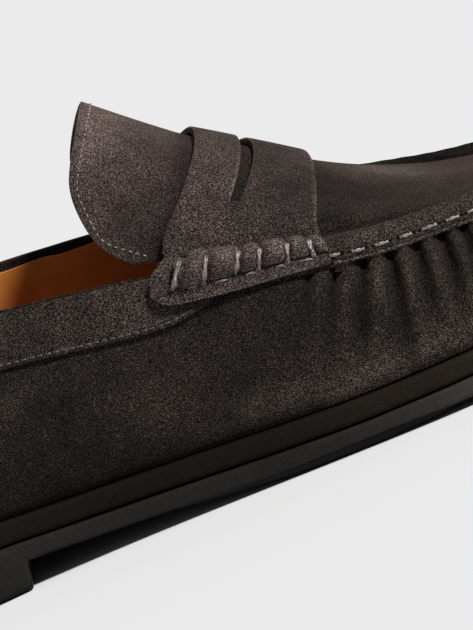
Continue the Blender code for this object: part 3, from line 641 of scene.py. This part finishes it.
def gather_list(line):
    """Gathers along the seam: mark, length, depth and lean."""
    made = []
    for row in GATHERS_IN_VIEW:
        near = np.argmin(np.abs(line.spots[:len(line.spots) // 2, 0] - row.at))
        made.append((line.marks[near], row.length, row.depth, row.lean))
    mark, turn = made[-1][0] + GATHER_PITCH, 0
    while mark < line.length - GATHERS_END:
        length, depth = GATHERS_ROUND[turn % len(GATHERS_ROUND)]
        made.append((mark, length, depth, GATHER_LEAN))
        mark += GATHER_PITCH + PITCH_DRIFT * math.sin(turn * DRIFT_TURN)
        turn += 1
    return made


def beside(line, points):
    """Nearest places of a line in plan: their indices and the distances to them."""
    plan = tree_of(in_plan(line.spots))
    found = [plan.find(point) for point in in_plan(points)]
    return np.array([f[1] for f in found]), np.array([f[2] for f in found])


def gather(upper, line):
    """Troughs pulled in below the seam with the suede swelling between them, through the whole wall; returns
    painted shade in the troughs and under the lip, painted light on the swells and the roll's top, and the
    lip's paler cut edge.
    """
    spots, facing = places(upper)
    zone = np.where(spots[:, 0] > GATHERS_FROM)[0]
    points = spots[zone]
    near, aside = beside(line, points)
    mark = line.marks[near]
    below = line.spots[near, 2] - points[:, 2]
    slant = np.radians(WALL_SLANT + TOE_SLANT * np.clip((points[:, 0] - TOE_FROM) / TOE_OVER, 0.0, 1.0))
    depth_on = aside * np.sin(slant) + below * np.cos(slant)
    down = np.maximum(depth_on - LIP_WIDE, 0.0)
    held = np.clip((depth_on - LIP_WIDE + LIP_BLEND / 2) / LIP_BLEND, 0.0, 1.0)
    held *= (below > UNDER_SEAM) & (aside < GATHERS_REACH)
    way = np.where(mark < line.length / 2, 1.0, -1.0)
    shift = np.zeros(len(zone))
    wide = GATHER_WIDE + GATHER_OPEN * down
    rise = np.clip(SWELL_START + down / SWELL_RUN, 0.0, 1.0)
    for at, length, depth, lean in gather_list(line):
        fade = 1.0 - np.minimum(down / length, 1.0) ** GATHER_FADE
        gap = mark - (at + way * lean * down)
        shift -= depth * fade * np.exp(-(gap / wide) ** 2)
        swell = gap - GATHER_PITCH / 2
        shift += GATHER_SWELL * fade * rise * (depth / 2.0) * np.exp(-(swell / SWELL_WIDE) ** 2)
    shift -= LIP_PULL * np.exp(-(down / LIP_SOFT) ** 2)
    turned = np.where(inner_side(points, facing[zone]), -1.0, 1.0)
    spots[zone] += facing[zone] * (shift * held * turned)[:, None]
    set_places(upper, spots)
    tone = np.ones(len(spots))
    # Painted shade in the troughs and under the lip, painted light on the swells.
    tone[zone] = np.exp(GATHER_SHADE * shift * held)
    # Painted highlight along the top of the seam's roll.
    above = np.where(below < RIDGE_LOW, np.hypot(aside, below), FAR)
    tone[zone] *= 1.0 + RIDGE_BLOOM * np.exp(-((above - RIDGE_AT) / RIDGE_WIDE) ** 2)
    cut = np.where((below > UNDER_SEAM) & (turned > 0.0), depth_on, FAR)
    tone[zone] *= 1.0 + CUT_BLOOM * np.exp(-((cut - LIP_WIDE + CUT_AT) / CUT_WIDE) ** 2)
    return tone


def foot_shade(piece, sole):
    """Painted shade of the wall where it turns in above the sole."""
    spots, facing = places(sole)
    ledge = spots[facing[:, 2] > LEDGE_FACING]
    plan = tree_of(in_plan(ledge))
    points, _ = places(piece)
    under = [plan.find(point)[1] for point in in_plan(points)]
    over = np.maximum(points[:, 2] - ledge[under, 2], 0.0)
    return 1.0 - FOOT_SHADE * np.exp(-(over / FOOT_TURN) ** 2)


def shade_beside(piece, other, reach, share):
    """Painted shade on a piece next to another that stands over it."""
    near = tree_of(places(other)[0])
    apart = np.array([near.find(spot)[2] for spot in places(piece)[0]])
    return 1.0 - share * np.exp(-(apart / reach) ** 2)


def tuck(upper, line):
    """Brings both ends of the rolled seam up to the strap's front edge."""
    spots, facing = places(upper)
    near, aside = beside(line, spots)
    rise = spots[:, 2] - line.spots[near, 2]
    band = (aside < TUCK_ASIDE) & (rise > TUCK_LOW) & (rise < TUCK_HIGH)
    band &= (spots[:, 0] > SEAM_FROM) & ~inner_side(spots, facing)
    back = TUCK * np.clip((TUCK_FROM - spots[:, 0]) / TUCK_OVER, 0.0, 1.0) ** TUCK_POWER
    spots[:, 0] -= np.where(band, back, 0.0)
    set_places(upper, spots)


def dip(upper):
    """Apron settled a little between its crest and the inner seam, through the whole wall."""
    spots, _ = places(upper)
    apart = (((spots[:, :2] - np.array(DIP_AT)) / np.array(DIP_HALF)) ** 2).sum(1)
    spots[:, 2] -= np.where(spots[:, 2] > DIP_OVER, DIP * np.exp(-apart), 0.0)
    set_places(upper, spots)


def scallop(upper, line):
    """Rolled seam pulled in at each stitch, grooved along its thread and hollow behind its roll, with
    painted shade in the hollow.
    """
    spots, facing = places(upper)
    zone = np.where((spots[:, 0] > SEAM_FROM) & ~inner_side(spots, facing))[0]
    points = spots[zone]
    near = np.array([np.argmin(((line.spots - p) ** 2).sum(1)) for p in points])
    apart = np.linalg.norm(points - line.spots[near], axis=1)
    middles = np.array([(first + last) / 2 for first, last in seam_spans(line)])
    off = np.abs(line.marks[near][:, None] - middles[None, :]).min(1)
    pull = PULL * np.clip(1.0 - apart / PULL_REACH, 0.0, 1.0) * np.exp(-(off / PULL_WIDE) ** 2)
    groove = GROOVE * np.exp(-(np.maximum(apart - GROOVE_FLAT, 0.0) / GROOVE_WIDE) ** 2)
    rise = points[:, 2] - line.spots[near, 2]
    valley = np.exp(-((apart - VALLEY_AT) / VALLEY_WIDE) ** 2) * (rise > VALLEY_OVER)
    spots[zone] -= facing[zone] * (pull + groove + VALLEY * valley)[:, None]
    set_places(upper, spots)
    tone = np.ones(len(spots))
    # Painted shade in the hollow behind the roll.
    tone[zone] -= VALLEY_SHADE * valley
    return tone


def pinch(roll, foot):
    """Roll drawn in under each turn of thread; the tone it returns has painted shade at each turn."""
    spots, facing = places(roll)
    drawn = np.zeros(len(spots))
    for turn in ROLL_TURNS:
        base = foot.at_x(turn.at)
        rise = (spots[:, 2] - base[2] - turn.low) / (turn.high - turn.low)
        rise = np.clip(rise, -PINCH_PAST, 1.0 + PINCH_PAST)
        drawn += np.exp(-((spots[:, 0] - base[0] - turn.lean * rise) / PINCH_WIDE) ** 2)
    drawn = np.minimum(drawn, 1.0)
    spots -= facing * (PINCH * drawn)[:, None]
    set_places(roll, spots)
    return PINCH_LIGHT - PINCH_LOSS * drawn


def finer(piece, wanted):
    """Cuts the wanted faces once more."""
    choose_faces(piece, wanted(*faces_of(piece)))
    bpy.ops.mesh.subdivide(number_cuts=1)
    bpy.ops.mesh.select_mode(type='VERT')
    done()


def below_seam(at, facing):
    """Wall and seam round the front of the upper."""
    side = (at[:, 0] > FINE_FROM) & (np.abs(at[:, 1]) > FINE_SIDE)
    return side & (at[:, 2] < FINE_TOP) & ~inner_side(at, facing)


def gathers_in_view(at, facing):
    """Wall and seam on the outer side, where the photograph shows the gathers."""
    side = (at[:, 0] > FINE_FROM) & (at[:, 0] < FINEST_FRONT) & (at[:, 1] < FINEST_SIDE)
    return side & (at[:, 2] < FINEST_TOP) & ~inner_side(at, facing)


def photo_camera():
    """Camera at the photograph's place, rolled as it was held."""
    bpy.ops.object.camera_add(location=CAMERA_PLACE)
    camera = bpy.context.object
    camera.name = 'photo_camera'
    tilt, roll = math.radians(CAMERA_TILT), math.radians(CAMERA_ROLL)
    ahead = Vector((0.0, math.cos(tilt), -math.sin(tilt)))
    level_up = Vector((0.0, math.sin(tilt), math.cos(tilt)))
    level_right = Vector((1.0, 0.0, 0.0))
    right = level_right * math.cos(roll) - level_up * math.sin(roll)
    up = level_right * math.sin(roll) + level_up * math.cos(roll)
    turn = Matrix((right, up, -ahead)).transposed().to_4x4()
    camera.matrix_world = Matrix.Translation(CAMERA_PLACE) @ turn
    camera.data.sensor_width = CAMERA_SENSOR
    camera.data.lens = CAMERA_LENS
    camera.data.clip_end = 100.0
    bpy.context.scene.camera = camera


def studio():
    """Pale floor, the key light and the fill."""
    bpy.ops.mesh.primitive_plane_add(size=FLOOR_SIZE, location=(0.0, 0.0, FLOOR_LOW))
    floor = bpy.context.object
    floor.name = 'pale_floor'
    finish = Finish('pale_floor', 1.0)
    finish.surface.inputs['Base Color'].default_value = FLOOR_TONE
    finish.surface.inputs['Specular IOR Level'].default_value = 0.0
    floor.data.materials.append(finish.made)
    bpy.ops.object.light_add(type='SUN', location=KEY_FROM)
    key = bpy.context.object
    key.name = 'key_light'
    key.rotation_euler = Vector(KEY_FROM).to_track_quat('Z', 'Y').to_euler()
    key.data.energy = KEY_POWER
    key.data.angle = math.radians(KEY_WIDE)
    world = bpy.data.worlds.new('even_fill')
    world.use_nodes = True
    world.node_tree.nodes['Background'].inputs['Color'].default_value = (1.0, 1.0, 1.0, 1.0)
    world.node_tree.nodes['Background'].inputs['Strength'].default_value = FILL_POWER
    bpy.context.scene.world = world
    bpy.context.scene.view_settings.view_transform = 'Standard'


class Finish:
    """Node material on object coordinates."""

    def __init__(self, name, rough):
        self.made = bpy.data.materials.new(name)
        self.made.use_nodes = True
        self.tree = self.made.node_tree
        self.surface = self.tree.nodes['Principled BSDF']
        self.surface.inputs['Roughness'].default_value = rough
        self.place = self.tree.nodes.new('ShaderNodeTexCoord').outputs['Object']

    def join(self, a, b):
        """Links an output to an input."""
        self.tree.links.new(a, b)

    def noise(self, scale, detail=2.0, rough=0.5, stretch=None):
        """Soft noise; stretch is a turn and a scale for each way."""
        node = self.tree.nodes.new('ShaderNodeTexNoise')
        node.inputs['Scale'].default_value = scale
        node.inputs['Detail'].default_value = detail
        node.inputs['Roughness'].default_value = rough
        source = self.place
        if stretch:
            turn = self.tree.nodes.new('ShaderNodeMapping')
            turn.inputs['Rotation'].default_value = stretch[0]
            turn.inputs['Scale'].default_value = stretch[1]
            self.join(source, turn.inputs['Vector'])
            source = turn.outputs['Vector']
        self.join(source, node.inputs['Vector'])
        return node.outputs['Fac']

    def math(self, kind, a, b):
        """One sum of two values."""
        node = self.tree.nodes.new('ShaderNodeMath')
        node.operation = kind
        for socket, value in zip(node.inputs, (a, b)):
            if isinstance(value, (int, float)):
                socket.default_value = value
            else:
                self.join(value, socket)
        return node.outputs[0]

    def spread(self, value, low, high, to_low=0.0, to_high=1.0):
        """Value moved from one range to another."""
        node = self.tree.nodes.new('ShaderNodeMapRange')
        for name, number in (('From Min', low), ('From Max', high), ('To Min', to_low), ('To Max', to_high)):
            node.inputs[name].default_value = number
        self.join(value, node.inputs['Value'])
        return node.outputs['Result']

    def mix(self, share, a, b):
        """Two colours mixed by a share."""
        node = self.tree.nodes.new('ShaderNodeMix')
        node.data_type = 'RGBA'
        self.join(share, node.inputs['Factor'])
        for socket, value in ((node.inputs[6], a), (node.inputs[7], b)):
            if isinstance(value, tuple):
                socket.default_value = value + (1.0,)
            else:
                self.join(value, socket)
        return node.outputs[2]

    def toned(self, body, share):
        """Colour times a share and the tone painted onto the piece, painted light and shade among it."""
        tone_and_light_layer = self.tree.nodes.new('ShaderNodeAttribute')
        tone_and_light_layer.attribute_name = 'tone_and_painted_light'
        node = self.tree.nodes.new('ShaderNodeMix')
        node.data_type = 'RGBA'
        node.blend_type = 'MULTIPLY'
        node.inputs['Factor'].default_value = 1.0
        self.join(body, node.inputs[6])
        self.join(self.math('MULTIPLY', tone_and_light_layer.outputs['Fac'], share), node.inputs[7])
        return node.outputs[2]

    def bump(self, height, strength, depth_mm):
        """Fine relief."""
        node = self.tree.nodes.new('ShaderNodeBump')
        node.inputs['Strength'].default_value = strength
        node.inputs['Distance'].default_value = depth_mm * MM
        self.join(height, node.inputs['Height'])
        self.join(node.outputs['Normal'], self.surface.inputs['Normal'])

    def colour(self, value):
        """Sets the colour."""
        self.join(value, self.surface.inputs['Base Color'])


def suede_finish(name, dark, light, stretch=None, sheen=0.5):
    """Napped suede: fine fibre tips, soft cloudy patches and a grazing bloom."""
    finish = Finish(name, 0.95)
    fibre = finish.noise(4000.0, 0.6, 0.5, stretch)
    tuft = finish.noise(1500.0, 1.0, 0.5)
    cloud = finish.math('ADD', finish.math('MULTIPLY', finish.noise(48.0, 2.0, 0.5), 0.6),
                        finish.math('MULTIPLY', finish.noise(170.0, 1.0, 0.5), 0.4))
    tone_and_painted_light = finish.math('ADD', finish.math('MULTIPLY', fibre, 0.88), finish.math('MULTIPLY', tuft, 0.12))
    body = finish.mix(finish.math('POWER', finish.spread(tone_and_painted_light, 0.36, 0.67), 2.2), dark, light)
    finish.colour(finish.toned(body, finish.spread(cloud, 0.34, 0.66, 0.66, 1.38)))
    finish.bump(fibre, 0.7, 0.30)
    finish.surface.inputs['Specular IOR Level'].default_value = 0.08
    finish.surface.inputs['Sheen Weight'].default_value = sheen
    finish.surface.inputs['Sheen Roughness'].default_value = 0.35
    finish.surface.inputs['Sheen Tint'].default_value = (0.62, 0.46, 0.41, 1.0)
    return finish.made


def paint_tone_and_light(piece, patches=(), tone=1.0, cut=1.0):
    """Tone painted lighter or darker in soft patches, painted light and shade among them: place, half sizes
    and share of the tone.

    The front and rear cut edges take the share given as cut, painted lighter as a highlight.
    """
    spots, facing = places(piece)
    tone = np.ones(len(spots)) * tone
    tone *= cut ** np.clip((np.abs(facing[:, 0]) - CUT_FACING) / CUT_SOFT, 0.0, 1.0)
    for place, half, share in patches:
        apart = (((spots - np.array(place)) / np.array(half)) ** 2).sum(1)
        tone *= share ** np.exp(-apart)
    layer = piece.data.attributes.new('tone_and_painted_light', 'FLOAT', 'POINT')
    layer.data.foreach_set('value', tone.astype(np.float32))


def rubber_finish(name, dark, light, rough, spec):
    """Moulded rubber with a fine grain, painted dead black, as shade, where it faces the floor."""
    finish = Finish(name, rough)
    grain = finish.noise(2400.0, 1.0, 0.5)
    streak = finish.noise(60.0, 2.0, 0.5)
    both = finish.math('ADD', finish.math('MULTIPLY', grain, 0.7), finish.math('MULTIPLY', streak, 0.3))
    body = finish.mix(finish.spread(both, 0.35, 0.65), dark, light)
    # Faces that look down at the floor are painted near black, as painted shade.
    parts = finish.tree.nodes.new('ShaderNodeSeparateXYZ')
    shape = finish.tree.nodes.new('ShaderNodeNewGeometry')
    finish.join(shape.outputs['True Normal'], parts.inputs['Vector'])
    body = finish.mix(finish.spread(parts.outputs['Z'], -0.30, -0.12), tuple(c * 0.1 for c in dark), body)
    finish.colour(finish.toned(body, 1.0))
    wear_and_painted_shading = finish.spread(streak, 0.3, 0.7, rough - 0.08, rough + 0.10)
    finish.join(wear_and_painted_shading, finish.surface.inputs['Roughness'])
    finish.bump(grain, 0.25, 0.10)
    finish.surface.inputs['Specular IOR Level'].default_value = spec
    return finish.made


def leather_finish(name, dark, light):
    """Smooth tan leather with a fine grain and soft clouds."""
    finish = Finish(name, 0.42)
    cell = finish.tree.nodes.new('ShaderNodeTexVoronoi')
    cell.inputs['Scale'].default_value = 1100.0
    finish.join(finish.place, cell.inputs['Vector'])
    cloud = finish.noise(70.0, 3.0, 0.55)
    finish.colour(finish.mix(finish.spread(cloud, 0.3, 0.7), dark, light))
    finish.bump(cell.outputs['Distance'], 0.25, 0.12)
    return finish.made


def thread_finish(name, dark, light):
    """Waxed thread with a little gloss."""
    finish = Finish(name, 0.34)
    fibre = finish.noise(2600.0, 2.0, 0.6)
    finish.colour(finish.toned(finish.mix(finish.spread(fibre, 0.35, 0.65), dark, light), 1.0))
    finish.bump(fibre, 0.7, 0.15)
    finish.surface.inputs['Specular IOR Level'].default_value = 0.8
    return finish.made


def show(piece, finish, slot, *nodes):
    """Gives a piece its finish, and lets it stand for the nodes that it replaces."""
    if 'tone_and_painted_light' not in piece.data.attributes:
        paint_tone_and_light(piece)
    piece.data.materials.clear()
    piece.data.materials.append(finish)
    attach(piece, "root")
    if nodes:
        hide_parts(*nodes)


def bind(side, way, foot, face):
    """Turns of thread round a roll, and the stitches between them along its foot."""
    out = unit(np.array((0.0, way, ROLL_RISE)))
    turns, dashes = [], []
    for turn in ROLL_TURNS:
        def round_roll(t):
            rise = turn.low + (turn.high - turn.low) * t
            return lay(face, foot.at_x(turn.at) + np.array((turn.lean * t, 0.0, rise)), out)
        turns.append(stitch(round_roll, TURN_LIFT, count=17))
    for first, last in ROLL_DASHES:
        def along_foot(t):
            return lay(face, foot.at_x(first + (last - first) * t) + UP * DASH_LOW, out)
        dashes.append(stitch(along_foot, DASH_LIFT, count=8))
    thread = sew(side + '_roll_thread', turns, ROLL_THREAD, turns=0.5, flat=0.35)
    # Painted highlight on each turn's upper middle, with painted shade towards its ends.
    spots, _ = places(thread)
    rise = (spots[:, 2] - np.interp(spots[:, 0], foot.spots[:, 0], foot.spots[:, 2])) / TURN_HIGH
    light = np.exp(-((rise - TURN_LIGHT_AT) / TURN_LIGHT_WIDE) ** 2)
    paint_tone_and_light(thread, tone=TURN_TONE + TURN_GAIN * light)
    show(thread, pale_thread, 'strap_suede')
    thread = sew(side + '_roll_dashes', dashes, DASH_THREAD, turns=0.75)
    paint_tone_and_light(thread, tone=DASH_TONE)
    show(thread, pale_thread, 'strap_suede')


def line_the_upper():
    """Tan leather inside the upper, from just below the topline down to the insole."""
    lining = pattern_from('upper', 'tan_lining')
    middles, facing = faces_of(lining)
    outside = ~inner_side(middles, facing)
    outside |= (facing[:, 2] > TOPLINE_FACING) & (middles[:, 2] > TOPLINE_OVER)
    outside |= (facing[:, 2] < FOOT_FACING) | (middles[:, 0] > LINING_END)
    choose_faces(lining, outside)
    bpy.ops.mesh.delete(type='FACE')
    bpy.ops.mesh.select_mode(type='VERT')
    # The row of points along the topline goes too. Edges are deselected, so that no others go with it.
    bpy.ops.mesh.select_all(action='DESELECT')
    bpy.ops.mesh.select_non_manifold()
    done()
    for edge in lining.data.edges:
        edge.select = False
    for corner in lining.data.vertices:
        if corner.co.z < TRIM_OVER * MM or corner.co.x > TRIM_BEHIND * MM:
            corner.select = False
    bpy.ops.object.mode_set(mode='EDIT')
    bpy.ops.mesh.delete(type='VERT')
    bpy.ops.mesh.select_all(action='SELECT')
    bpy.ops.transform.shrink_fatten(value=LINING_ROOM * MM)
    done()
    smooth(lining)
    only(lining)
    bpy.ops.object.modifier_add(type='SOLIDIFY')
    skin = lining.modifiers[-1]
    skin.thickness = LINING_THICK * MM
    skin.offset = -1.0
    bpy.ops.object.modifier_apply(modifier=skin.name)
    return lining


photo_camera()
studio()

suede = suede_finish('vamp_suede', (0.0030, 0.0018, 0.0011), (0.056, 0.0438, 0.0370), sheen=0.27)
strap_suede = suede_finish('strap_suede_nap', (0.009, 0.0066, 0.0057), (0.118, 0.091, 0.081),
                           ((0.0, 0.4, 0.3), (0.7, 1.0, 1.0)), sheen=0.25)
tongue_suede = suede_finish('tongue_suede_nap', (0.009, 0.0064, 0.0055), (0.118, 0.088, 0.078), sheen=0.45)
edge_thread = thread_finish('collar_row_thread', (0.03, 0.024, 0.021), (0.10, 0.080, 0.073))
collar_suede = suede_finish('collar_suede_nap', (0.002, 0.0015, 0.0012), (0.100, 0.077, 0.065), sheen=0.30)
tread_rubber = rubber_finish('outsole_black_rubber', (0.0090, 0.0078, 0.0068), (0.0180, 0.0158, 0.0140),
                             rough=0.62, spec=0.10)
band_rubber = rubber_finish('midsole_black_rubber', (0.0036, 0.0025, 0.0016), (0.0080, 0.0058, 0.0040),
                            rough=0.66, spec=0.08)
tan = leather_finish('tan_leather', (0.50, 0.165, 0.028), (0.65, 0.245, 0.060))
pale_thread = thread_finish('pale_waxed_thread', (0.060, 0.047, 0.045), (0.34, 0.285, 0.275))
row_thread = thread_finish('edge_row_thread', (0.11, 0.080, 0.070), (0.32, 0.245, 0.22))
fibre_finish = thread_finish('loose_fibres', (0.08, 0.066, 0.060), (0.28, 0.235, 0.215))
hole_finish = rubber_finish('needle_hole_shade', (0.0015, 0.0012, 0.0010), (0.004, 0.0032, 0.0028),
                            rough=0.9, spec=0.1)

outsole = pattern_from('outsole', 'outsole_unit')
tighten(outsole, reach=1.1, share=CHAMFER_CLOSED)
soften(outsole, angle=30, crease=0.85)
paint_tone_and_light(outsole, OUTSOLE_TONE)
show(outsole, tread_rubber, 'outsole_rubber', 'outsole')

midsole = pattern_from('midsole', 'midsole_band')
tighten(midsole, reach=0.8, share=CHAMFER_CLOSED)
soften(midsole, angle=30, crease=0.85)
paint_tone_and_light(midsole, MIDSOLE_TONE)
show(midsole, band_rubber, 'midsole_rubber', 'midsole')

insole = pattern_from('insole', 'insole_sock')
soften(insole, angle=40, crease=0.6)
show(insole, tan, 'insole_leather', 'insole')

upper = pattern_from('upper', 'upper_shell')
wall_face = surface_of(upper)
seam_spots = seam_rows(upper)
seam = Line(seam_spots)
pleats = Line(np.vstack((seam_spots[:1] + np.array(PLEATS_BACK), seam_spots)))
soften(upper, angle=45, crease=0.8)
finer(upper, below_seam)
finer(upper, gathers_in_view)
# Painted shade and light on the upper: the gathers, the top of the seam's roll, the hollow behind it and the
# wall's foot above the sole.
wear_and_painted_shading = gather(upper, pleats) * foot_shade(upper, midsole)
wear_and_painted_shading *= scallop(upper, seam)
tuck(upper, seam)
dip(upper)
paint_tone_and_light(upper, UPPER_NAP_AND_PAINTED_LIGHT, wear_and_painted_shading)
show(upper, suede, 'upper_suede', 'upper')

lining = line_the_upper()
show(lining, tan, 'insole_leather')

collar = pattern_from('collar_band', 'collar_panel')
collar_line = Line(collar_rows(collar, wall_face))
soften(collar, angle=50, crease=0.6)
show(collar, collar_suede, 'upper_suede', 'collar_band')

strap = pattern_from('strap', 'saddle_strap')
flanges = {side: Line(flange_rows(strap, side, way)) for side, way in SIDES}
soften(strap, angle=50, crease=0.85)
paint_tone_and_light(strap, STRAP_NAP_AND_PAINTED_LIGHT, cut=STRAP_CUT)
show(strap, strap_suede, 'strap_suede', 'strap')

tongue = pattern_from('tongue', 'tongue_flap')
tongue_line = Line(tongue_rows(tongue))
soften(tongue, angle=50, crease=0.6)
# Painted shade on the tongue beside the strap's edge.
behind_strap = shade_beside(tongue, strap, TONGUE_SHADE_WIDE, TONGUE_SHADE)
paint_tone_and_light(tongue, TONGUE_NAP_AND_PAINTED_LIGHT, TONGUE_TONE * behind_strap, cut=TONGUE_CUT)
show(tongue, tongue_suede, 'upper_suede', 'tongue')

rolls, feet = {}, {}
for side, node in (('outer', 'beef_roll_lateral'), ('inner', 'beef_roll_medial')):
    roll = pattern_from(node, side + '_roll')
    feet[side] = Line(roll_rows(roll, wall_face))
    smooth(roll)
    # Painted shade of the roll at each turn of thread.
    paint_tone_and_light(roll, tone=pinch(roll, feet[side]))
    show(roll, strap_suede, 'strap_suede', node)
    rolls[side] = roll

chance = np.random.default_rng(7)
upper_face = surface_of(upper)
seam_run = running(seam, upper_face, seam_spans(seam), SEAM_LIFT, rise=0.35)
show(sew('seam_stitches', seam_run, SEAM_THREAD, turns=1.0), pale_thread, 'upper_suede')
holes = []
for points, normals in seam_run:
    run = unit(points[-1] - points[0])
    holes.append((points[0] - run * HOLE_PAST, normals[0], run))
    holes.append((points[-1] + run * HOLE_PAST, normals[-1], run))
show(dimples('seam_needle_holes', holes, HOLE_WIDE, HOLE_DEEP), hole_finish, 'upper_suede')
roots = fringe(seam, upper_face, SEAM_FIBRES, SEAM_FIBRE_RISE, SEAM_DROP, chance,
               lambda normal, out: normal * SEAM_FIBRE_OUT - UP * SEAM_FIBRE_DOWN)
show(fuzz('seam_lip_fibres', roots, 11, *SEAM_FIBRE), fibre_finish, 'upper_suede')

collar_face = surface_of(collar)
spans = even_spans(ROW_START, collar_line.length, COLLAR_PITCH, COLLAR_STITCH)
collar_run = running(collar_line, collar_face, spans, COLLAR_LIFT, rise=0.2, count=6)
show(sew('collar_stitches', collar_run, COLLAR_THREAD, turns=0.5), edge_thread, 'upper_suede')
roots = fringe(collar_line, collar_face, COLLAR_FIBRES, COLLAR_FIBRE_RISE, COLLAR_DROP, chance,
               lambda normal, out: out - UP * COLLAR_FIBRE_DOWN)
show(fuzz('collar_edge_fibres', roots, 31, *COLLAR_FIBRE), fibre_finish, 'upper_suede')

tongue_face = surface_of(tongue)
tongue_run = []
for mark in np.arange(ROW_START, tongue_line.length - TONGUE_END, TONGUE_PITCH):
    tongue_run.append(stitch(lambda t: touched(tongue_face, tongue_line.at(mark + TONGUE_STITCH * t)),
                             TONGUE_LIFT, count=6))
show(sew('tongue_stitches', tongue_run, TONGUE_THREAD, turns=0.5), row_thread, 'upper_suede')

strap_face = surface_of(strap)
for side, way in SIDES:
    bind(side, way, feet[side], surface_of(rolls[side], strap))
    roots = []
    for mark in np.arange(FLANGE_END, flanges[side].length - FLANGE_END, FLANGE_FIBRES):
        edge = flanges[side].at(mark)
        spot, normal = touched(strap_face, edge + chance.normal(0.0, FLANGE_SPREAD, 3))
        away = unit(np.array((edge[0], way * FLANGE_AWAY, edge[2] - FLANGE_HIGH)))
        roots.append((spot, unit(normal * FLANGE_FIBRE_OUT + away * FLANGE_FIBRE_AWAY)))
    show(fuzz(side + '_flange_fibres', roots, 21, *FLANGE_FIBRE), fibre_finish, 'strap_suede')
